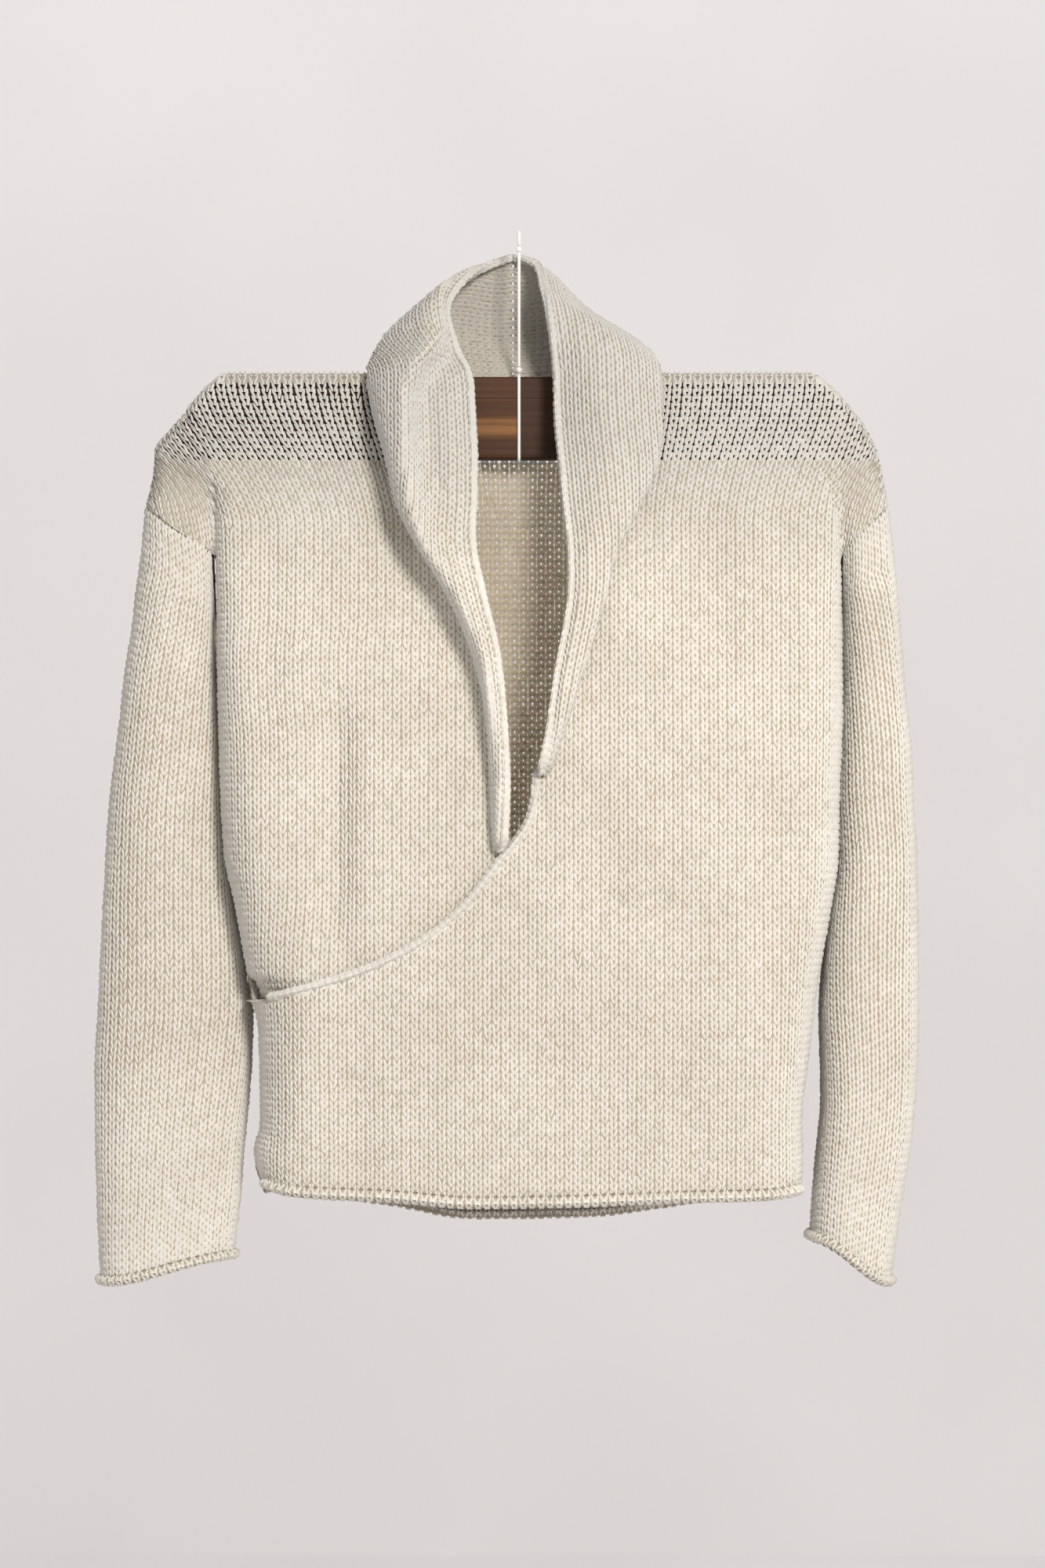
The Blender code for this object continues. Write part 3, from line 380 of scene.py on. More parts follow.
def depth(x, z, side, under=False):
    """Distance of a panel's middle surface from the bar's middle plane: side is front or back."""
    layer = LAYER * ease((UNDER_START - z) / LAYER_RUN) if under else 0.0
    step = SIDE_LAYER * ease((WRAP_SEAM + SIDE_STEP - z) / SIDE_EASE) if under else 0.0
    left = column(BODY, "left", z) + WALL / 2 + step
    right = column(BODY, "right", z) - WALL / 2 - step
    full = column(BODY, side, z) - layer
    edge = np.minimum(column(BODY, "edge", z), full)
    radius = column(BODY, "round", z)
    power = column(BODY, "power", z)
    inside = np.minimum(x - left, right - x)
    body = edge + (full - edge) * rounding(inside, radius, power)
    out_left = column(CAPS, "left", z) + WALL / 2
    out_right = column(CAPS, "right", z) - WALL / 2
    within = np.minimum(x - out_left, out_right - x)
    cap = column(CAPS, "depth", z)
    cap = cap * rounding(within, column(CAPS, "round", z), column(CAPS, "power", z))
    away = ease(-inside / CAP_BLEND)
    cap = cap * away + np.minimum(cap, edge) * (1 - away)
    total = np.where(inside >= 0, body, cap)
    folds = FRONT_FOLDS if side == "front" else BACK_FOLDS
    calm = ease(inside / CALM_WIDTH)
    total = total - fold_depth(folds, x, z) * calm
    over = rounding(SHOULDER_TOP - z, SHOULDER_ROUND, SHOULDER_POWER)
    return np.maximum(total * over, SEAM_HALF)


def outer_edge(z, name):
    """Where a panel ends at the side: shoulder outline, armhole seam, then side seam."""
    sign = 1 if name == "left" else -1
    cap = column(CAPS, name, z) + sign * WALL / 2
    seam = column(ARM_SEAM, name, z)
    side = column(BODY, name, z) + sign * WALL / 2
    seam = np.maximum(seam, cap) if name == "left" else np.minimum(seam, cap)
    edge = np.where(z > ARM_TOP, cap, seam)
    return np.where(z < ARM_FRONT, side, edge)


def through(points, at):
    """A smooth curve through the given points, read at places from 0 to their count less one."""
    points = np.asarray(points, float)
    count = len(points)
    tangents = np.gradient(points, axis=0)
    at = np.clip(at, 0, count - 1)
    i = np.minimum(at.astype(int), count - 2)
    t = (at - i)[:, None]
    return (
        points[i] * (1 + 2 * t) * (1 - t) ** 2
        + tangents[i] * t * (1 - t) ** 2
        + points[i + 1] * t**2 * (3 - 2 * t)
        + tangents[i + 1] * t**2 * (t - 1)
    )


# Knitting: width of a wale, height of a course, half width and rise of a leg of a stitch, how much
# a leg thins in stretched cloth, and how far the ground and a leg's sides lie off the surface
WALE = 0.0057
COURSE = 0.0045
LEG_HALF = 0.00122
LEG_RISE = 0.0014
LEG_THINS = 1.3
THIN_LIMITS = (0.6, 1.3)
GROUND = 0.0002
SKIRT = -0.0003

# Wales spread towards the shoulders, and courses rise into the drop shoulders
SHOULDER_STRETCH_LEFT = 0.26
SHOULDER_STRETCH_RIGHT = 0.14
STRETCH_LOW = -0.190
STRETCH_RUN = 0.095
CAP_ROWS_RISE = 0.69
CAP_ROWS_TOP = -0.100
CAP_ROWS_REACH = 0.05

# Wales on each side of the middle, the widest reach, the least cell as a share of a wale, and the
# least length that anything is divided by
HALF_WALES = 46
WIDEST = 0.26
LEAST_CELL = 0.35
LEAST = 1e-5

# Courses are counted down the column at this x, in finer steps over the shoulder's turn
COUNT_COLUMN = 0.12
OVER_END = 0.012
OVER_STEPS = 200
DOWN_START = 0.0121
DOWN_STEPS = 900
REACH_STEPS = 1041

# Unevenness of the stitches, as shares of a cell or of a leg's own size
UNEVEN_ACROSS = 0.02
UNEVEN_ALONG = 0.03
UNEVEN_WIDTH = 0.07
UNEVEN_RISE = 0.10

# The cloth ripples only where it hangs free of the bar
RIPPLE_DEPTH = 0.004
RIPPLE_DEPTH_RUN = 0.012
RIPPLE_TOP = -0.150
RIPPLE_TOP_RUN = 0.04

# Open knit of the back, seen in the neck opening: its middle, half width and lower end
WINDOW_X = 0.005
WINDOW_HALF = 0.062
WINDOW_LOW = -0.455

# Heights: where the wool's painted shade at the top fades into the lighter, warmer tone below, from the start
# to the end, and the joint line in the bar
SHOULDER_SHADE_FADE_START = -0.13
SHOULDER_SHADE_FADE_END = -0.225
JOINT_LINE = -0.1077

# Wall and floor
STAGE_HALF = 6.0

# Camera frame: its centre and height in the object's plane, and the distance
VIEW_X = 0.00225
VIEW_Z = -0.353
VIEW_HEIGHT = 1.0
VIEW_DISTANCE = 3.0

# Points round a sleeve's ring, and along and across a collar half, with the line on which its
# courses are counted
RING_POINTS = 144
COLLAR_FINE = 420
COLLAR_ACROSS = 81
COLLAR_MIDDLE = 30

# A sleeve reaches up to the drop shoulder and lies snug at its inner side
SLEEVE_REACH = 0.0012
SLEEVE_SNUG = 0.0022

# Rolled edges: radii, how deep a roll sits in the cloth, and where it starts and ends
EDGE_ROLL = 0.0032
CUFF_ROLL = 0.0026
SELVEDGE_ROLL = 0.0024
ROLL_SINK = 0.001
EDGE_POINTS = 240
HEM_INSET = 0.004
WRAP_TOP = -0.3405
WRAP_INSET = 0.0022
WRAP_LIFT = 0.0004

# Front tip of a collar half, which runs down and in to a point on the front
TIP_LENGTH = 0.0075
TIP_SINK = 0.0065
TIP_ROWS = 8
TIP_SLOPE_ROWS = 12
TIP_NARROW = 0.55

# The fronts' edges are filled out under the collar's tips, and the right front's stitches run on
# a little under the left front
TIP_FILL = 0.0045
TIP_HEIGHT = -0.345
TIP_RUN = 0.012
UNDER_FILL = 0.007
UNDER_FILL_HEIGHT = -0.395
UNDER_FILL_RUN = 0.008
COVER_RUN = 0.026

# Over the bar the cloth is open: from this far under it, up to a closed band at the shoulder's top
BAR_MARGIN = 0.001
TOP_GROUND = 0.005

# Rolled ridge down the right half of the collar, and the hollow on its inner side
Ridge = namedtuple("Ridge", "z x share")
RIDGE = (
    Ridge(-0.06, -0.052, 0.0),
    Ridge(-0.0755, -0.0545, 0.6),
    Ridge(-0.091, -0.065, 1.0),
    Ridge(-0.113, -0.0715, 1.0),
    Ridge(-0.153, -0.0695, 0.9),
    Ridge(-0.203, -0.061, 0.5),
    Ridge(-0.253, -0.048, 0.0),
)
RIDGE_HIGH = 0.0060
RIDGE_WIDE = 0.0055
RIDGE_FADE = 0.02
RIDGE_FRONT = -0.010
RIDGE_FRONT_RUN = 0.015
HOLLOW_DEEP = 0.0100
HOLLOW_AWAY = 0.0130
HOLLOW_WIDE = 0.0090

RNG = np.random.default_rng(7)


def normalise(vectors):
    length = np.linalg.norm(vectors, axis=-1, keepdims=True)
    return vectors / np.where(length < 1e-12, 1, length)


def run_along(points):
    """Distance along a row of points, from its first one."""
    return np.concatenate([[0], np.cumsum(np.linalg.norm(np.diff(points, axis=0), axis=1))])


def read_at(at, run, points):
    """The row of points read at the given distances along its run."""
    return np.stack([np.interp(at, run, points[:, k]) for k in range(3)], axis=1)


def wide_enough(corners):
    """Marks the cells that a panel's border hasn't squeezed."""
    width = np.linalg.norm(corners[:, 1:] - corners[:, :-1], axis=-1)
    return (width[1:] + width[:-1]) / 2 > LEAST_CELL * WALE


def ripple(x, z):
    """Slight unevenness of hung knitting, in metres."""
    return (
        0.0006 * np.sin(61 * x + 17 * z + 0.7)
        + 0.0005 * np.sin(97 * x - 23 * z + 2.1)
        + 0.0004 * np.sin(38 * z + 29 * x + 4.0)
        + 0.0003 * np.sin(151 * x + 8 * z)
    )


def shoulder_stretch(x, z):
    share = ease((z - STRETCH_LOW) / STRETCH_RUN)
    return 1 + share * np.where(x < 0, SHOULDER_STRETCH_LEFT, SHOULDER_STRETCH_RIGHT)


def course_heights(x, side, under, bottom):
    """Heights of the courses down one column, equally far apart along the cloth."""
    over = np.linspace(SHOULDER_TOP, SHOULDER_TOP - OVER_END, OVER_STEPS)
    down = np.linspace(SHOULDER_TOP - DOWN_START, bottom, DOWN_STEPS)
    z = np.concatenate([over, down])
    y = depth(np.full(z.shape, x), z, side, under)
    run = np.concatenate([[0], np.cumsum(np.hypot(np.diff(z), np.diff(y)))])
    count = int(round(run[-1] / COURSE))
    return np.interp(np.linspace(0, run[-1], count + 1), run, z)


def body_lattice(side, bottom, start, end, x_ref, shift, under=False):
    """Corners of the stitch cells of a body panel, their outward normals, and the cells inside it."""
    sign = -1 if side == "front" else 1
    zs = course_heights(x_ref, side, under, bottom)
    reach = np.linspace(-WIDEST, WIDEST, REACH_STEPS)
    steps = np.arange(-HALF_WALES, HALF_WALES + 1)
    places = np.zeros((len(zs), len(steps)))
    for row, z in enumerate(zs):
        y = depth(reach, np.full(reach.shape, z), side, under)
        arc = np.concatenate([[0], np.cumsum(np.hypot(np.diff(reach), np.diff(y)))])
        arc -= np.interp(0.0, reach, arc)
        stretch = np.where(steps < 0, shoulder_stretch(-1, z), shoulder_stretch(1, z))
        places[row] = np.interp(steps * WALE * stretch, arc, reach)
    levels = np.repeat(zs[:, None], len(steps), axis=1)
    beyond = np.maximum(BODY[4].left - places, places - BODY[4].right)
    ramp = np.clip((CAP_ROWS_TOP - levels) / (CAP_ROWS_TOP - ARM_FRONT), 0, 1)
    levels = levels + CAP_ROWS_RISE * np.clip(beyond, 0, CAP_ROWS_REACH) * ramp

    def surface(x, z):
        y = depth(x, z, side, under)
        soft = ease((y - RIPPLE_DEPTH) / RIPPLE_DEPTH_RUN) * ease((RIPPLE_TOP - z) / RIPPLE_TOP_RUN)
        y = y + ripple(x, z) * soft
        return np.stack([x, sign * y, z + shift(x, z)], axis=-1)

    free = surface(places, levels)
    normal = normalise(np.cross(np.gradient(free, axis=1), np.gradient(free, axis=0)))
    normal *= np.where(normal[..., 1:2] * sign < 0, -1, 1)
    held = surface(np.clip(places, start(levels), end(levels)), levels)
    return held, normal, wide_enough(held)


def ring_lattice(rings):
    """Stitch cells of a tube given as fine closed rings, one for each course."""
    closed_rings = [np.concatenate([ring, ring[:1]]) for ring in rings]
    runs = [run_along(closed) for closed in closed_rings]
    count = int(round(np.mean([run[-1] for run in runs]) / WALE))
    corners = []
    for closed, run in zip(closed_rings, runs):
        corners.append(read_at(np.linspace(0, run[-1], count + 1), run, closed))
    corners = np.array(corners)
    wrapped = np.concatenate([corners[:, -2:-1], corners, corners[:, 1:2]], axis=1)
    across = (wrapped[:, 2:] - wrapped[:, :-2]) / 2
    normal = normalise(np.cross(across, np.gradient(corners, axis=0)))
    away = corners - corners.mean(axis=1, keepdims=True)
    normal *= np.where(np.sum(normal * away, axis=-1, keepdims=True) < 0, -1, 1)
    return corners, normal, np.ones((len(rings) - 1, count), bool)


# A leg of a stitch: rings along it, from the foot to the head. Across and along are shares of
# the cell, width and rise are shares of the leg's half width and rise.
LegRing = namedtuple("LegRing", "across along width rise")
LEG = (
    LegRing(0.1, -0.26, 0.7, 0.2),
    LegRing(0.165, 0.14, 1.0, 1.0),
    LegRing(0.295, 0.66, 1.0, 1.0),
    LegRing(0.37, 1.16, 0.55, 0.1),
)


def cell_points(corners, a, b):
    """Points at shares a across and b along each cell, linear between its corners."""
    p00, p01 = corners[:-1, :-1], corners[:-1, 1:]
    p10, p11 = corners[1:, :-1], corners[1:, 1:]
    return (p00 * (1 - a) + p01 * a) * b + (p10 * (1 - a) + p11 * a) * (1 - b)


def handed(corners, normal):
    """Positive where right, up and outward make a right-handed set."""
    right = corners[:-1, 1:] - corners[:-1, :-1]
    up = corners[:-1, :-1] - corners[1:, :-1]
    return float(np.sum(np.cross(right, up) * normal[:-1, :-1]))


def legs(corners, normal, mask):
    """Vertices (legs, rings, 3 across, xyz) of every stitch in the mask, which has two legs."""
    rows, cols = mask.shape
    width = np.linalg.norm(cell_points(corners, 1.0, 0.5) - cell_points(corners, 0.0, 0.5), axis=-1)
    height = np.linalg.norm(cell_points(corners, 0.5, 1.0) - cell_points(corners, 0.5, 0.0), axis=-1)
    n = normalise(cell_points(normal, 0.5, 0.5))
    jitter = RNG.normal(0, 1, (4, rows, cols))
    legs_made = []
    for side in (-1, 1):
        rings = []
        for number, ring in enumerate(LEG):
            before, after = LEG[max(number - 1, 0)], LEG[min(number + 1, len(LEG) - 1)]
            lean_a = (after.across - before.across) * width
            lean_b = (after.along - before.along) * height
            length = np.hypot(lean_a, lean_b)
            thin = np.clip(WALE / np.maximum(width, LEAST), *THIN_LIMITS) ** LEG_THINS
            half = LEG_HALF * ring.width * thin * (1 + UNEVEN_WIDTH * jitter[1])
            rise = LEG_RISE * ring.rise * (1 + UNEVEN_RISE * jitter[2])
            points = []
            for k, lift in ((-1, SKIRT), (0, rise), (1, SKIRT)):
                off_a = k * half * lean_b / length / np.maximum(width, LEAST)
                off_b = -k * half * lean_a / length / np.maximum(height, LEAST)
                a = 0.5 + side * (ring.across + off_a) + UNEVEN_ACROSS * jitter[0]
                b = ring.along + off_b + UNEVEN_ALONG * jitter[3]
                point = cell_points(corners, a[..., None], b[..., None])
                points.append(point + n * np.broadcast_to(np.asarray(lift), a.shape)[..., None])
            if handed(corners, normal) < 0:
                points = points[::-1]
            rings.append(np.stack(points, axis=-2))
        legs_made.append(np.stack(rings, axis=-3))
    return np.stack(legs_made, axis=2)[mask].reshape(-1, len(LEG), 3, 3)


# Hole in each cell of the netting, as shares of the cell
HOLE_ACROSS = 0.5
HOLE_ALONG = 0.60
HOLE_HALF_ACROSS = 0.17
HOLE_HALF_ALONG = 0.24


def quads(upper_left, upper_right, lower_left, lower_right):
    """Strips of one face each, from arrays of their corners."""
    upper = np.stack([upper_left, upper_right], axis=-2)
    lower = np.stack([lower_left, lower_right], axis=-2)
    return np.stack([upper, lower], axis=-3)


def cells(corners, normal, mask):
    """The cloth behind the stitches as single cells, each a strip of its own."""
    points = corners + normal * GROUND
    return quads(points[:-1, :-1], points[:-1, 1:], points[1:, :-1], points[1:, 1:])[mask]


def netting(corners, normal, mask):
    """The cloth behind the stitches with a hole in each cell: four strips round it."""
    rim = [(0.0, 0.0), (1.0, 0.0), (1.0, 1.0), (0.0, 1.0)]
    signs = ((-1, -1), (1, -1), (1, 1), (-1, 1))
    hole = [(HOLE_ACROSS + x * HOLE_HALF_ACROSS, HOLE_ALONG + y * HOLE_HALF_ALONG) for x, y in signs]
    out = cell_points(normal, 0.5, 0.5) * GROUND
    place = [cell_points(corners, a, b) + out for a, b in rim + hole]
    strips = []
    for k in range(4):
        n = (k + 1) % 4
        strips.append(quads(place[k], place[n], place[4 + k], place[4 + n])[mask])
    return strips


def grid_faces(rows, cols, flip=False):
    index = np.arange(rows * cols).reshape(rows, cols)
    faces = np.stack([index[:-1, :-1], index[:-1, 1:], index[1:, 1:], index[1:, :-1]], axis=-1).reshape(-1, 4)
    return faces[:, ::-1] if flip else faces


def make_mesh(name, points, faces, uv, material):
    mesh = bpy.data.meshes.new(name)
    mesh.vertices.add(len(points))
    mesh.vertices.foreach_set("co", points.astype(np.float32).ravel())
    mesh.loops.add(faces.size)
    mesh.loops.foreach_set("vertex_index", faces.astype(np.int32).ravel())
    mesh.polygons.add(len(faces))
    mesh.polygons.foreach_set("loop_start", np.arange(0, faces.size, 4, dtype=np.int32))
    mesh.update(calc_edges=True)
    mesh.validate()
    layer = mesh.uv_layers.new(name="OFBake")
    layer.data.foreach_set("uv", uv[faces.ravel()].astype(np.float32).ravel())
    mesh.shade_smooth()
    mesh.materials.append(material)
    obj = bpy.data.objects.new(name, mesh)
    bpy.context.scene.collection.objects.link(obj)
    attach(obj, "root")
    return obj


def strands_mesh(name, strips, material):
    """One mesh from strips (count, rings, across, xyz), each with its own place in the UV square."""
    pieces, faces, uvs, first = [], [], [], 0
    total = sum(len(strip) for strip in strips)
    side = int(math.ceil(math.sqrt(total)))
    slot = 0
    for strip in strips:
        count, rings, across = strip.shape[:3]
        if not count:
            continue
        local = grid_faces(rings, across)
        base = first + np.arange(count)[:, None, None] * rings * across
        faces.append((local[None] + base).reshape(-1, 4))
        number = slot + np.arange(count)
        corner = np.stack([number % side, number // side], axis=-1)[:, None, None, :]
        v, u = np.meshgrid(np.linspace(0.1, 0.9, rings), np.linspace(0.1, 0.9, across), indexing="ij")
        uvs.append(((corner + np.stack([u, v], axis=-1)[None]) / side).reshape(-1, 2))
        pieces.append(strip.reshape(-1, 3))
        first += count * rings * across
        slot += count
    return make_mesh(name, np.concatenate(pieces), np.concatenate(faces), np.concatenate(uvs), material)


def ground_mesh(name, corners, normal, mask, material):
    """The cloth behind the stitches: one face for each cell of the mask."""
    rows, cols = corners.shape[:2]
    points = (corners + normal * GROUND).reshape(-1, 3)
    faces = grid_faces(rows, cols, handed(corners, normal) > 0)[mask.ravel()]
    used, index = np.unique(faces, return_inverse=True)
    faces = index.reshape(faces.shape)
    v, u = np.meshgrid(np.linspace(0, 1, rows), np.linspace(0, 1, cols), indexing="ij")
    uv = np.stack([u, v], axis=-1).reshape(-1, 2)[used]
    return make_mesh(name, points[used], faces, uv, material)


def rope_lattice(path, outward, radius, stitches_round):
    """Stitch cells round a rolled edge: the path of its middle, and the outward direction there."""
    run = run_along(path)
    count = max(int(round(run[-1] / (WALE if stitches_round else COURSE))), 3)
    at = np.linspace(0, run[-1], count + 1)
    path = read_at(at, run, path)
    outward = read_at(at, run, outward)
    along = normalise(np.gradient(path, axis=0))
    outward = normalise(outward - along * np.sum(outward * along, axis=1, keepdims=True))
    side = np.cross(along, outward)
    around = max(int(round(radius * 2 * math.pi / (COURSE if stitches_round else WALE))), 3)
    turns = np.linspace(0.0, 2 * math.pi, around + 1)[None, :, None]
    direction = outward[:, None] * np.cos(turns) + side[:, None] * np.sin(turns)
    corners = path[:, None] + direction * radius
    if stitches_round:
        corners, direction = corners.transpose(1, 0, 2), direction.transpose(1, 0, 2)
    return corners, direction, np.ones((corners.shape[0] - 1, corners.shape[1] - 1), bool)


def material(name, roughness):
    made = bpy.data.materials.new(name)
    made.use_nodes = True
    shader = made.node_tree.nodes["Principled BSDF"]
    shader.inputs["Roughness"].default_value = roughness
    return made, made.node_tree, shader


def node(tree, kind, inputs=(), **settings):
    made = tree.nodes.new(kind)
    for key, value in settings.items():
        setattr(made, key, value)
    for key, value in dict(inputs).items():
        if isinstance(value, bpy.types.NodeSocket):
            tree.links.new(value, made.inputs[key])
        else:
            made.inputs[key].default_value = value
    return made


def noise(tree, place, scale, detail=3.0, rough=0.55):
    inputs = {"Vector": place, "Scale": scale, "Detail": detail, "Roughness": rough}
    return node(tree, "ShaderNodeTexNoise", inputs).outputs["Fac"]


def spread_range(tree, value, low, high, new_low=0.0, new_high=1.0):
    inputs = {"Value": value, "From Min": low, "From Max": high, "To Min": new_low, "To Max": new_high}
    return node(tree, "ShaderNodeMapRange", inputs).outputs["Result"]


def maths(tree, operation, *values):
    return node(tree, "ShaderNodeMath", dict(enumerate(values)), operation=operation).outputs[0]


def stretched(tree, place, scale):
    return node(tree, "ShaderNodeMapping", {"Vector": place, "Scale": scale}).outputs["Vector"]


def mixed(tree, share, first, second):
    """Two colours mixed by a share, which is a socket: each colour is a socket or three numbers."""
    made = tree.nodes.new("ShaderNodeMix")
    made.data_type = "RGBA"
    for key, kind, value in (("Factor", "VALUE", share), ("A", "RGBA", first), ("B", "RGBA", second)):
        target = next(socket for socket in made.inputs if (socket.name, socket.type) == (key, kind))
        if isinstance(value, bpy.types.NodeSocket):
            tree.links.new(value, target)
        else:
            target.default_value = (*value, 1)
    return next(s for s in made.outputs if s.type == "RGBA")


def bumped(tree, shader, height, strength, distance):
    made = node(tree, "ShaderNodeBump", {"Height": height, "Strength": strength, "Distance": distance})
    tree.links.new(made.outputs["Normal"], shader.inputs["Normal"])


def object_place(tree):
    return node(tree, "ShaderNodeTexCoord").outputs["Object"]


def wool(name, light, dark, lower_tone, roughness, sheen, through_light=0.0):
    """Woollen yarn: uneven cream, with painted shade that makes it darker and greyer at the top, lighter and
    warmer lower down, fibres as a fine bump.
    """
    made, tree, shader = material(name, roughness)
    place = object_place(tree)
    split = node(tree, "ShaderNodeSeparateXYZ", {"Vector": place})
    # Painted shade: the top tone, darker and greyer, fades into the lower tone down the cloth
    low = spread_range(tree, split.outputs["Z"], SHOULDER_SHADE_FADE_START, SHOULDER_SHADE_FADE_END)
    base = mixed(tree, low, light, lower_tone)
    patches = spread_range(tree, noise(tree, place, 17.0), 0.40, 0.66, 0.0, 0.30)
    base = mixed(tree, patches, base, dark)
    yarn = spread_range(tree, noise(tree, place, 330.0, 2.0), 0.36, 0.68, 0.0, 0.40)
    base = mixed(tree, yarn, base, dark)
    tree.links.new(base, shader.inputs["Base Color"])
    shader.inputs["Sheen Weight"].default_value = sheen
    shader.inputs["Sheen Roughness"].default_value = 0.5
    shader.inputs["Specular IOR Level"].default_value = 0.2
    fibres = noise(tree, place, 1500.0, 4.0, 0.65)
    bumped(tree, shader, fibres, 0.8, 0.0007)
    if through_light:
        glow = node(tree, "ShaderNodeBsdfTranslucent", {"Color": base})
        inputs = {"Fac": through_light, 1: shader.outputs["BSDF"], 2: glow.outputs["BSDF"]}
        both = node(tree, "ShaderNodeMixShader", inputs)
        tree.links.new(both.outputs["Shader"], tree.nodes["Material Output"].inputs["Surface"])
    return made


def wood():
    """Dark straight-grained hardwood: a lighter left half, a golden streak, one fine joint line, and painted
    shade on its ends under the cloth.
    """
    made, tree, shader = material("bar_walnut", 0.55)
    place = object_place(tree)
    fine = noise(tree, stretched(tree, place, (6.0, 60.0, 330.0)), 1.0, 6.0, 0.6)
    grain = spread_range(tree, fine, 0.30, 0.70)
    coarse = noise(tree, stretched(tree, place, (3.0, 20.0, 90.0)), 1.0, 3.0, 0.5)
    broad = spread_range(tree, coarse, 0.34, 0.66)
    base = mixed(tree, grain, (0.022, 0.0080, 0.0030), (0.100, 0.038, 0.012))
    base = mixed(tree, spread_range(tree, broad, 0.0, 1.0, 0.0, 0.55), base, (0.060, 0.026, 0.013))
    split = node(tree, "ShaderNodeSeparateXYZ", {"Vector": place})
    x, z = split.outputs["X"], split.outputs["Z"]
    left = spread_range(tree, x, 0.0004, -0.0004)
    above = spread_range(tree, z, -0.1345, -0.1295)
    below = spread_range(tree, z, -0.1185, -0.1235)
    streak = maths(tree, "MULTIPLY", above, below)
    streak = maths(tree, "MULTIPLY", streak, left)
    streak = maths(tree, "MULTIPLY", streak, grain)
    base = mixed(tree, spread_range(tree, streak, 0.0, 1.0, 0.0, 0.85), base, (0.30, 0.135, 0.045))
    base = mixed(tree, spread_range(tree, left, 0.0, 1.0, 0.45, 0.0), base, (0.016, 0.007, 0.004))
    # Painted shade: darker beyond the neck opening, where the cloth over the bar shades it
    aside = maths(tree, "ABSOLUTE", x)
    base = mixed(tree, spread_range(tree, aside, 0.055, 0.075, 0.0, 0.7), base, (0.010, 0.005, 0.003))
    away = maths(tree, "ABSOLUTE", maths(tree, "ADD", z, -JOINT_LINE))
    base = mixed(tree, spread_range(tree, away, 0.0001, 0.0005, 0.85, 0.0), base, (0.006, 0.003, 0.002))
    tree.links.new(base, shader.inputs["Base Color"])
    shader.inputs["Specular IOR Level"].default_value = 0.2
    bumped(tree, shader, grain, 0.35, 0.0003)
    return made


def cotton():
    made, tree, shader = material("cord_cotton", 0.75)
    place = object_place(tree)
    turned = node(tree, "ShaderNodeMapping", {"Vector": place, "Rotation": (0.5, 0.6, 0.0)}).outputs["Vector"]
    inputs = {"Vector": turned, "Scale": 420.0, "Distortion": 1.5, "Detail": 2.0}
    twist = node(tree, "ShaderNodeTexWave", inputs, bands_direction="Z").outputs["Fac"]
    # Painted shade: darker in the grooves of the twist, where the bump is lowest
    base = mixed(tree, spread_range(tree, twist, 0.0, 1.0, 0.35, 0.0), (0.90, 0.89, 0.87), (0.60, 0.58, 0.55))
    tree.links.new(base, shader.inputs["Base Color"])
    shader.inputs["Sheen Weight"].default_value = 0.2
    bumped(tree, shader, twist, 0.7, 0.0003)
    return made


def backdrop():
    made, tree, shader = material("backdrop_paper", 0.95)
    place = object_place(tree)
    mottle = spread_range(tree, noise(tree, place, 1.3, 2.0), 0.35, 0.65)
    base = mixed(tree, mottle, (0.86, 0.84, 0.85), (0.90, 0.88, 0.89))
    tree.links.new(base, shader.inputs["Base Color"])
    shader.inputs["Specular IOR Level"].default_value = 0.1
    return made


# Each wool: top tone, random darker tone, lower tone; the darker top tone is painted shade over the shoulders
YARN = wool("wool_stitches", (0.60, 0.585, 0.56), (0.60, 0.55, 0.47), (0.80, 0.765, 0.705), 0.85, 0.25)
# Painted shade: a darker, tan copy of the yarn for the collar's inner face
SHADED_INSIDE_YARN = wool("wool_inside_painted_shade", (0.52, 0.49, 0.43), (0.46, 0.41, 0.33), (0.66, 0.60, 0.52), 0.85, 0.2)
THIN_YARN = wool("wool_back", (0.66, 0.64, 0.60), (0.58, 0.53, 0.45), (0.76, 0.72, 0.65), 0.85, 0.25, 0.40)
# Painted light: the netting is a bright warm tan, brighter than the yarn, for the glow in the shaded back;
# its translucency is the thin knit's own
PAINTED_GLOW_NETTING = wool("wool_netting_painted_glow", (0.97, 0.89, 0.72), (0.90, 0.80, 0.62), (0.97, 0.88, 0.70), 0.9, 0.0, 0.75)
# Painted shade: the cloth behind the stitches is a dark tan, for the shade in the gaps between them
SHADE_GROUND_WOOL = wool("wool_ground_painted_shade", (0.36, 0.33, 0.28), (0.28, 0.24, 0.18), (0.44, 0.385, 0.295), 0.95, 0.0)
COTTON = cotton()
WOOD = wood()
PAPER = backdrop()


def dress(obj, material):
    """Gives a part carried over from the model the scene's material."""
    for place in obj.material_slots:
        place.material = material


def wrap_edge(z):
    """Free edge of the left front, filled out where the collar's tip runs into it."""
    fill = TIP_FILL * np.exp(-(((z - TIP_HEIGHT) / TIP_RUN) ** 2))
    return np.maximum(column(LEFT_FRONT_EDGE, "x", z) - fill, column(BODY, "left", z) + WALL / 2)


def left_front_start(z):
    return np.where(z > WRAP_SEAM, wrap_edge(z), column(BODY, "left", z) + WALL / 2)


def right_front_start(z):
    return outer_edge(z, "left") + SIDE_LAYER * ease((WRAP_SEAM - z) / SIDE_EASE)


def right_front_end(z):
    right = column(BODY, "right", z) - WALL / 2 - SIDE_LAYER
    fill = UNDER_FILL * np.exp(-(((z - UNDER_FILL_HEIGHT) / UNDER_FILL_RUN) ** 2))
    return np.where(z > WRAP_SEAM, np.minimum(column(RIGHT_FRONT_EDGE, "x", z) + fill, right), right)


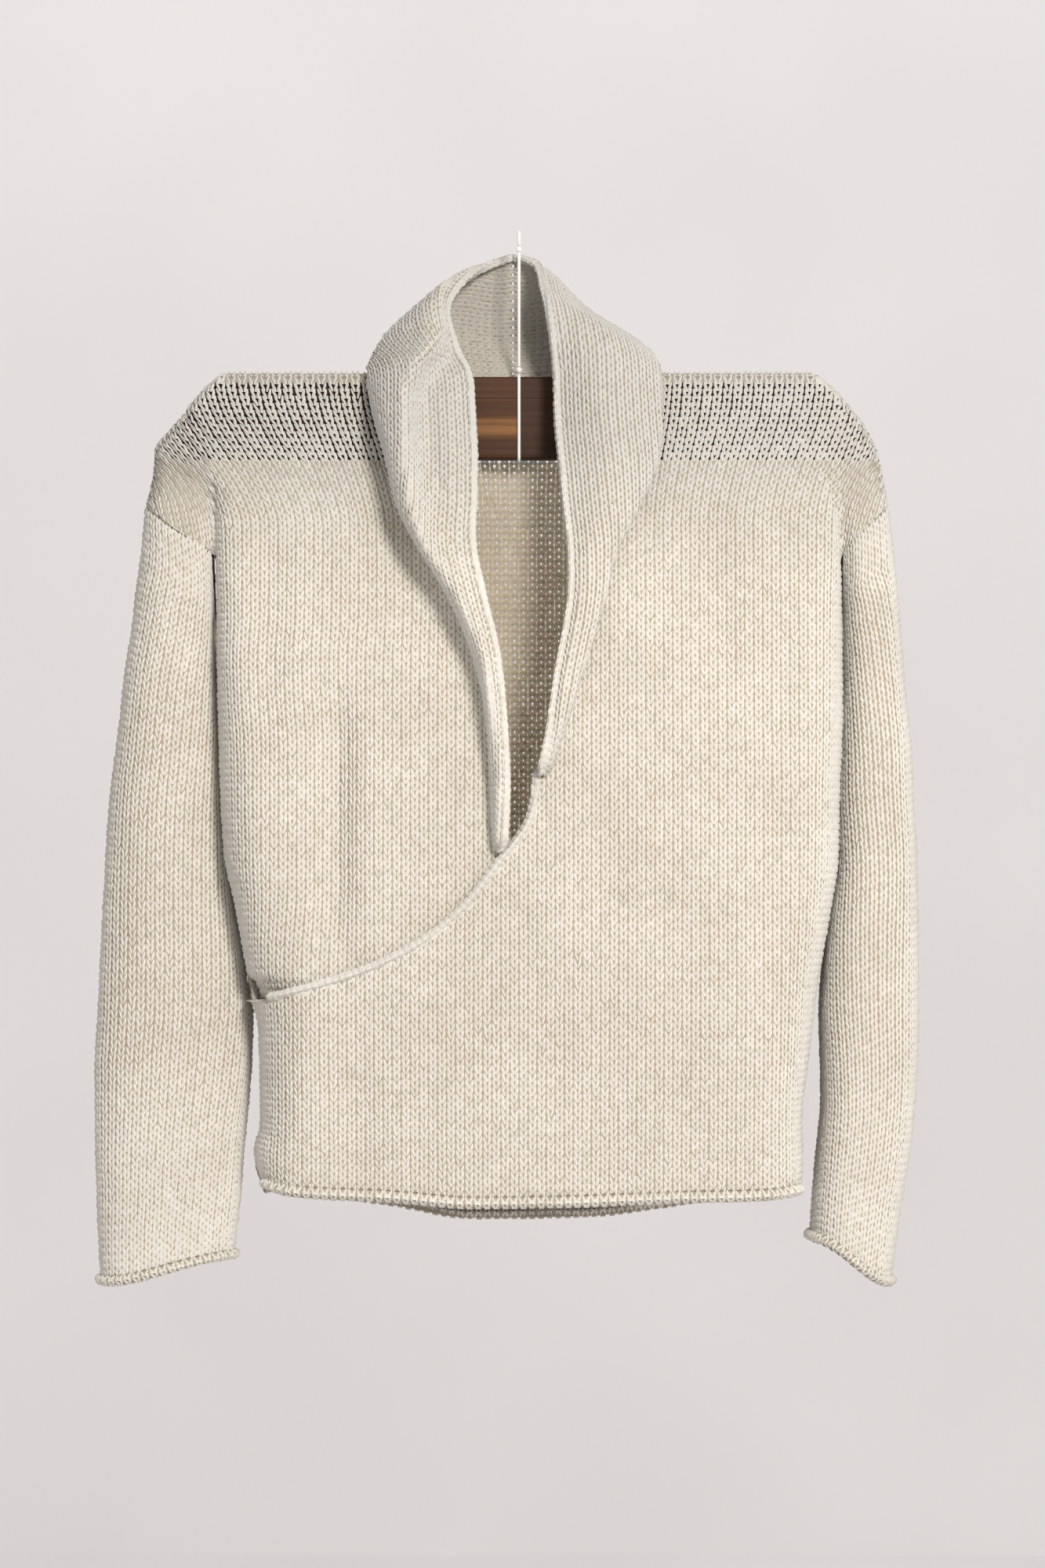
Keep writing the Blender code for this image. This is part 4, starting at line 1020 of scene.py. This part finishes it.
def left_edge(z):
    return outer_edge(z, "left")


def right_edge(z):
    return outer_edge(z, "right")


def hem_shift(side):
    """Moves the lowest rows so that the last one follows the hem line."""

    def shift(x, z):
        hem = smooth(x, [row.x for row in HEMS], [getattr(row, side) for row in HEMS])
        share = ease((HEM_BLEND_TOP - z) / (HEM_BLEND_TOP - HEM_LEVEL))
        return (hem - HEM_LEVEL) * share

    return shift


def neck_and_hem(x, z):
    neck = ease((x - NECK_LEFT) / NECK_EASE) * ease((NECK_RIGHT - x) / NECK_EASE)
    drop = np.maximum(z - NECK_BACK, 0) * NECK_SHARE * neck
    return hem_shift("back")(x, z) - drop


def middle_of(corners):
    """Centre of each cell."""
    return (corners[:-1, :-1] + corners[:-1, 1:] + corners[1:, :-1] + corners[1:, 1:]) / 4


def sleeve_rings(table, name, cuff_inner):
    """Rings from the armhole seam to the cuff, one for each course."""
    sign = -1 if name == "left" else 1
    turn = np.linspace(0, 2 * math.pi, RING_POINTS, endpoint=False)
    exponent = 2 / SLEEVE_POWER
    swing = np.sign(np.cos(turn)) * np.abs(np.cos(turn)) ** exponent
    bulge = np.sign(np.sin(turn)) * np.abs(np.sin(turn)) ** exponent
    share = (1 - swing) / 2
    seam_x = [getattr(row, name) * sign for row in ARM_SEAM]
    tip = seam_x[0] - WALL / 2
    pit = table[0].inner * sign
    x_top = tip + (pit - tip) * share
    top = np.interp(x_top, seam_x[::-1], [row.z for row in ARM_SEAM][::-1])
    top = top + (UNDERARM - ARM_FRONT) * ease((share - PIT_SHARE) / (1 - PIT_SHARE))
    top = top - SLEEVE_GAP - TIP_GAP * ease(1 - share / TIP_SHARE) + SLEEVE_REACH
    cuff = CUFF_OUTER + (cuff_inner - CUFF_OUTER) * ease(share)
    count = int(round(float(np.mean(top - cuff)) / COURSE))
    rows = []
    for step in np.linspace(0, 1, count + 1):
        z = top + (cuff - top) * step
        outer = column(table, "outer", z) - sign * WALL / 2
        inner = column(table, "inner", z) - sign * SLEEVE_SNUG
        front = column(table, "front", z)
        back = column(table, "back", z)
        x = (outer + inner) / 2 + (outer - inner) / 2 * swing
        shoulder = np.where(bulge > 0, -depth(x, z, "front"), depth(x, z, "back"))
        tube_y = (back - front) / 2 - (back + front) / 2 * bulge
        blend = ease((top - z) / SHOULDER_BLEND)
        rows.append(np.stack([x, shoulder * (1 - blend) + tube_y * blend, z], axis=1))
    return rows


def ridge_lift(points):
    """Forward lift along the rolled ridge of the right half, with the hollow beside it."""
    x, z = points[..., 0], points[..., 2]
    gap = x - column(RIDGE, "x", z)
    share = column(RIDGE, "share", z) * ease((z - RIDGE[-1].z) / RIDGE_FADE)
    ridge = RIDGE_HIGH * np.exp(-((gap / RIDGE_WIDE) ** 2))
    hollow = HOLLOW_DEEP * np.exp(-(((gap - HOLLOW_AWAY) / HOLLOW_WIDE) ** 2))
    forward = ease((RIDGE_FRONT - points[..., 1]) / RIDGE_FRONT_RUN)
    return (ridge - hollow) * share * forward


def tip_rows(grid):
    """Rows that carry the front tip of a collar half down and in to a point on the front."""
    first, slope = grid[0], grid[0] - grid[TIP_SLOPE_ROWS]
    run = slope / np.linalg.norm(slope.mean(axis=0))
    aim = first.mean(axis=0) + run.mean(axis=0) * TIP_LENGTH + np.array([0, TIP_SINK, 0])
    rows = []
    for share in np.linspace(1, 0, TIP_ROWS, endpoint=False):
        narrow = 1 - TIP_NARROW * share**1.5
        row = aim * share + first.mean(axis=0) * (1 - share) + (first - first.mean(axis=0)) * narrow
        rows.append(row)
    return np.array(rows)


def collar_lattice(stations, edges, side, under):
    """Stitch cells of a collar half: rows along its length, wales counted from the free edge."""
    along = np.linspace(0, len(stations) - 1, COLLAR_FINE)
    lines = {}
    for name in ("root", "bulge", "roll", "edge"):
        lines[name] = through([getattr(row, name) for row in stations], along)
    root = lines["root"]
    x = column(edges, "x", root[:, 2]) + side * ROOT_INSET
    y = -depth(x, root[:, 2], "front", under) - ROOT_SEAT
    seat = np.stack([x, y, root[:, 2]], axis=1)
    lines["root"] = root + (seat - root) * ease(ROOT_ON_FRONT - along)[:, None]
    lift = np.radians(np.interp(along, range(len(stations)), [row.lift for row in stations]))
    leave = np.stack([0 * lift, -np.cos(lift), np.sin(lift)], axis=1)
    lines["leave"] = lines["root"] + leave * ROOT_RUN
    last = len(COLLAR_NODES) - 1
    across = np.linspace(last, 0, COLLAR_ACROSS)
    grid = np.array([through([lines[name][j] for name in COLLAR_NODES], across) for j in range(len(along))])
    if under:
        grid[..., 1] -= ridge_lift(grid)
    grid = np.concatenate([tip_rows(grid), grid])
    run = run_along(grid[:, COLLAR_MIDDLE])
    count = int(round(run[-1] / COURSE))
    picks = np.interp(np.linspace(0, run[-1], count + 1), run, np.arange(len(run)))
    low = np.minimum(picks.astype(int), len(run) - 2)
    share = (picks - low)[:, None, None]
    grid = grid[low] * (1 - share) + grid[low + 1] * share
    width = np.linalg.norm(np.diff(grid, axis=1), axis=2).sum(axis=1)
    steps = np.arange(int(math.ceil(width.max() / WALE)) + 1) * WALE
    smooth_normal = normalise(np.cross(np.gradient(grid, axis=1), np.gradient(grid, axis=0)))
    corners = []
    normal = []
    for row, row_normal in zip(grid, smooth_normal):
        run = run_along(row)
        at = np.minimum(steps, run[-1])
        corners.append(read_at(at, run, row))
        normal.append(read_at(at, run, row_normal))
    corners = np.array(corners)
    normal = normalise(np.array(normal))
    # The outer face looks forward, and away from the other half, down the lapel
    lapel = normal[: len(normal) // 2, 2:6]
    if np.sum(lapel[..., 1]) > 0:
        normal = -normal
    return corners, normal, wide_enough(corners), grid[:, 0], smooth_normal[:, 0]


def knit(name, corners, normal, stitched, material, inner, parts):
    """Stitches on the cells marked, in as many meshes as needed; inner marks cells stitched inside too, in a
    darker copy of the yarn that is painted shade.
    """
    made = []
    outer = legs(corners, normal, stitched)
    if inner is not None:
        # The inner stitches are painted shade: a darker copy of the yarn
        made.append(strands_mesh(name + "_inside", [legs(corners, -normal, inner)], SHADED_INSIDE_YARN))
    for number, part in enumerate(np.array_split(outer, parts)):
        label = name if parts == 1 else f"{name}_{number + 1}"
        made.append(strands_mesh(label, [part], material))
    return made


def rope(name, path, outward, radius, around=False):
    """A rolled edge: the stitches round it, and a thin core in the dark ground wool, which is painted shade
    between the stitches; around turns the stitches across it.
    """
    corners, normal, mask = rope_lattice(path, outward, radius, around)
    strands_mesh(name, [legs(corners, normal, mask)], YARN)
    # The core's dark wool is painted shade between the stitches
    strands_mesh(name + "_core", [cells(corners, normal, mask)], SHADE_GROUND_WOOL)


# Camera: straight on, at the photo's angle and scale
camera = bpy.data.cameras.new("camera")
camera.sensor_width = 36.0
camera.lens = camera.sensor_width * VIEW_DISTANCE / VIEW_HEIGHT
camera_object = bpy.data.objects.new("camera", camera)
camera_object.location = (VIEW_X, -VIEW_DISTANCE, VIEW_Z)
camera_object.rotation_euler = (math.pi / 2, 0, 0)
bpy.context.scene.collection.objects.link(camera_object)
bpy.context.scene.camera = camera_object

# Cord: the taut run from the knot above the bar to the knot under the eye
low = BAR_TOP + 2 * CORD_GAP + 2 * CORD_RADIUS + 2 * KNOT_RADIUS + CORD_GAP
high = -EYE_HEIGHT - 2 * CORD_GAP - 2 * EYE_KNOT_RADIUS
cord_curve = bpy.data.curves.new("cord_run", "CURVE")
cord_curve.dimensions = "3D"
cord_curve.bevel_depth = CORD_RADIUS
cord_curve.bevel_resolution = 3
cord_curve.use_fill_caps = True
spline = cord_curve.splines.new("POLY")
spline.points.add(CORD_CELLS)
for number, point in enumerate(spline.points):
    point.co = (0, 0, low + (high - low) * number / CORD_CELLS, 1)
cord_curve.materials.append(COTTON)
cord_run = bpy.data.objects.new("cord_run", cord_curve)
bpy.context.scene.collection.objects.link(cord_run)
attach(cord_run, "root")
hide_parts("cord_line")
for name in ("cord_hoop", "cord_knot", "cord_eye_knot", "cord_eye"):
    dress(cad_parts[name], COTTON)
dress(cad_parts["bar"], WOOD)


def panel_piece(name, lattice, stitched, grounded, inner=None, netted=None, parts=1, yarn=YARN):
    """A cut piece, named like its solid: its ground, which is the sheet, dark as painted shade between the
    stitches, and its stitches.
    """
    corners, normal, mask = lattice
    # The ground's dark wool is painted shade between the stitches
    ground = ground_mesh(name + "_ground", corners, normal, mask & grounded, SHADE_GROUND_WOOL)
    pieces = knit(name + "_stitches", corners, normal, mask & stitched, yarn, inner, parts)
    if netted is not None:
        # The netting's bright tan is painted light
        pieces.append(strands_mesh(name + "_netting", netting(corners, normal, mask & netted), PAINTED_GLOW_NETTING))
    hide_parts(name)


def clear_of_bar(middle):
    """Cells with cloth behind their stitches: all but those over the bar, which shows through."""
    return (middle[..., 2] < BAR_BOTTOM - BAR_MARGIN) | (middle[..., 2] > SHOULDER_TOP - TOP_GROUND)


# Left front, which laps over the right one
hem = hem_shift("front")
lattice = body_lattice("front", HEM_LEVEL, left_front_start, right_edge, COUNT_COLUMN, hem)
middle = middle_of(lattice[0])
panel_piece("front_left", lattice, lattice[2], clear_of_bar(middle))

# Right front, stitched only where it shows beside the left one
bottom = HEM_LEVEL + UNDER_HEM_LIFT
lattice = body_lattice("front", bottom, right_front_start, right_front_end, -COUNT_COLUMN, hem, under=True)
middle = middle_of(lattice[0])
cover = column(LEFT_FRONT_EDGE, "x", middle[..., 2]) + COVER_RUN
shows = (middle[..., 0] < cover) & (middle[..., 2] > WRAP_SEAM - COVER_RUN)
panel_piece("front_right", lattice, shows, clear_of_bar(middle))


# Back, open knit behind the neck opening, where light comes through it; its netting is a bright warm tan,
# painted light for the glow in the shade there
lattice = body_lattice("back", HEM_LEVEL, left_edge, right_edge, COUNT_COLUMN, neck_and_hem)
middle = middle_of(lattice[0])
window = (np.abs(middle[..., 0] - WINDOW_X) < WINDOW_HALF) & (middle[..., 2] > WINDOW_LOW)
panel_piece(
    "back", lattice, lattice[2], clear_of_bar(middle) & ~window,
    netted=window & (middle[..., 2] < BAR_BOTTOM), parts=2, yarn=THIN_YARN,
)

# Sleeves, with no seam but the one under the arm
for name, table, outline, inner_cuff in (
    ("sleeve_right", RIGHT_SLEEVE, "left", CUFF_INNER_RIGHT),
    ("sleeve_left", LEFT_SLEEVE, "right", CUFF_INNER_LEFT),
):
    rings = sleeve_rings(table, outline, inner_cuff)
    lattice = ring_lattice(rings)
    panel_piece(name, lattice, lattice[2], lattice[2])
    cuff = np.concatenate([rings[-1], rings[-1][:2]])
    out = cuff - cuff.mean(axis=0)
    out[:, 2] = 0
    out = normalise(out)
    lifted = cuff + np.array([0, 0, CUFF_ROLL]) + out * (CUFF_ROLL - ROLL_SINK)
    rope(name + "_cuff_roll", lifted, out, CUFF_ROLL, around=True)

# Collar halves
for name, stations, edges, side, under in (
    ("collar_right", RIGHT_COLLAR, RIGHT_FRONT_EDGE, -1, True),
    ("collar_left", LEFT_COLLAR, LEFT_FRONT_EDGE, 1, False),
):
    corners, normal, mask, free, free_normal = collar_lattice(stations, edges, side, under)
    panel_piece(name, (corners, normal, mask), mask, mask, inner=mask)
    rope(name + "_edge_roll", free, free_normal, SELVEDGE_ROLL)


def panel_line(xs, zs, side, shift=None):
    """Points of a body panel's middle surface along a line, with the outward direction."""
    sign = -1 if side == "front" else 1
    y = sign * depth(xs, zs, side)
    z = zs + (shift(xs, zs) if shift is not None else 0)
    points = np.stack([xs, y, z], axis=1)
    tangent = np.gradient(points, axis=0)
    out = np.cross(tangent, (0, 0, -1.0)) * sign
    out[:, 2] = 0
    return points, normalise(out) * np.where(out[:, 1:2] * sign < 0, -1, 1)


# Rolled hems, and the selvedge of the wrap below the collar
hem_left = column(BODY, "left", HEM_LEVEL) + HEM_INSET
hem_right = column(BODY, "right", HEM_LEVEL) - HEM_INSET
xs = np.linspace(hem_left, hem_right, EDGE_POINTS)
up = np.array([0, 0, EDGE_ROLL])
for name, side, shift in (
    ("front_hem_roll", "front", hem_shift("front")),
    ("back_hem_roll", "back", neck_and_hem),
):
    path, out = panel_line(xs, np.full(xs.shape, HEM_LEVEL), side, shift)
    rope(name, path + out * (EDGE_ROLL - ROLL_SINK) + up, out, EDGE_ROLL, around=True)
zs = np.linspace(WRAP_TOP, WRAP_SEAM + WRAP_INSET, EDGE_POINTS)
path, out = panel_line(wrap_edge(zs), zs, "front")
rope("wrap_edge_roll", path + out * WRAP_LIFT, out, SELVEDGE_ROLL)

# Wall and floor, a soft key light from the upper right, a lamp on the wall, and a pale room
for name, place, turn in (
    ("wall", (0, 4.6, 0.5), (math.pi / 2, 0, 0)),
    ("floor", (0, 0, -1.6), (0, 0, 0)),
):
    flat_mesh = bpy.data.meshes.new(name)
    corners = [(-STAGE_HALF, -STAGE_HALF, 0), (STAGE_HALF, -STAGE_HALF, 0)]
    corners += [(STAGE_HALF, STAGE_HALF, 0), (-STAGE_HALF, STAGE_HALF, 0)]
    flat_mesh.from_pydata(corners, [], [(0, 1, 2, 3)])
    flat_mesh.materials.append(PAPER)
    obj = bpy.data.objects.new(name, flat_mesh)
    obj.location = place
    obj.rotation_euler = turn
    bpy.context.scene.collection.objects.link(obj)


def lamp(name, place, aim, size, power, colour):
    data = bpy.data.lights.new(name, "AREA")
    data.shape = "DISK"
    data.size = size
    data.energy = power
    data.color = colour
    obj = bpy.data.objects.new(name, data)
    obj.location = place
    direction = mathutils.Vector(aim) - mathutils.Vector(place)
    obj.rotation_euler = direction.to_track_quat("-Z", "Y").to_euler()
    bpy.context.scene.collection.objects.link(obj)


lamp("key", (0.90, -2.6, 0.82), (0, 0, -0.35), 0.7, 77.0, (1.0, 0.975, 0.94))
lamp("wall_wash", (0, 2.4, 3.4), (0, 4.6, 1.6), 3.0, 35.0, (1.0, 0.975, 0.97))
world = bpy.data.worlds.new("room")
bpy.context.scene.world = world
world.use_nodes = True
sky = world.node_tree.nodes["Background"]
sky.inputs["Color"].default_value = (1.0, 0.98, 0.95, 1)
sky.inputs["Strength"].default_value = 0.60
bpy.context.scene.view_settings.view_transform = "Standard"
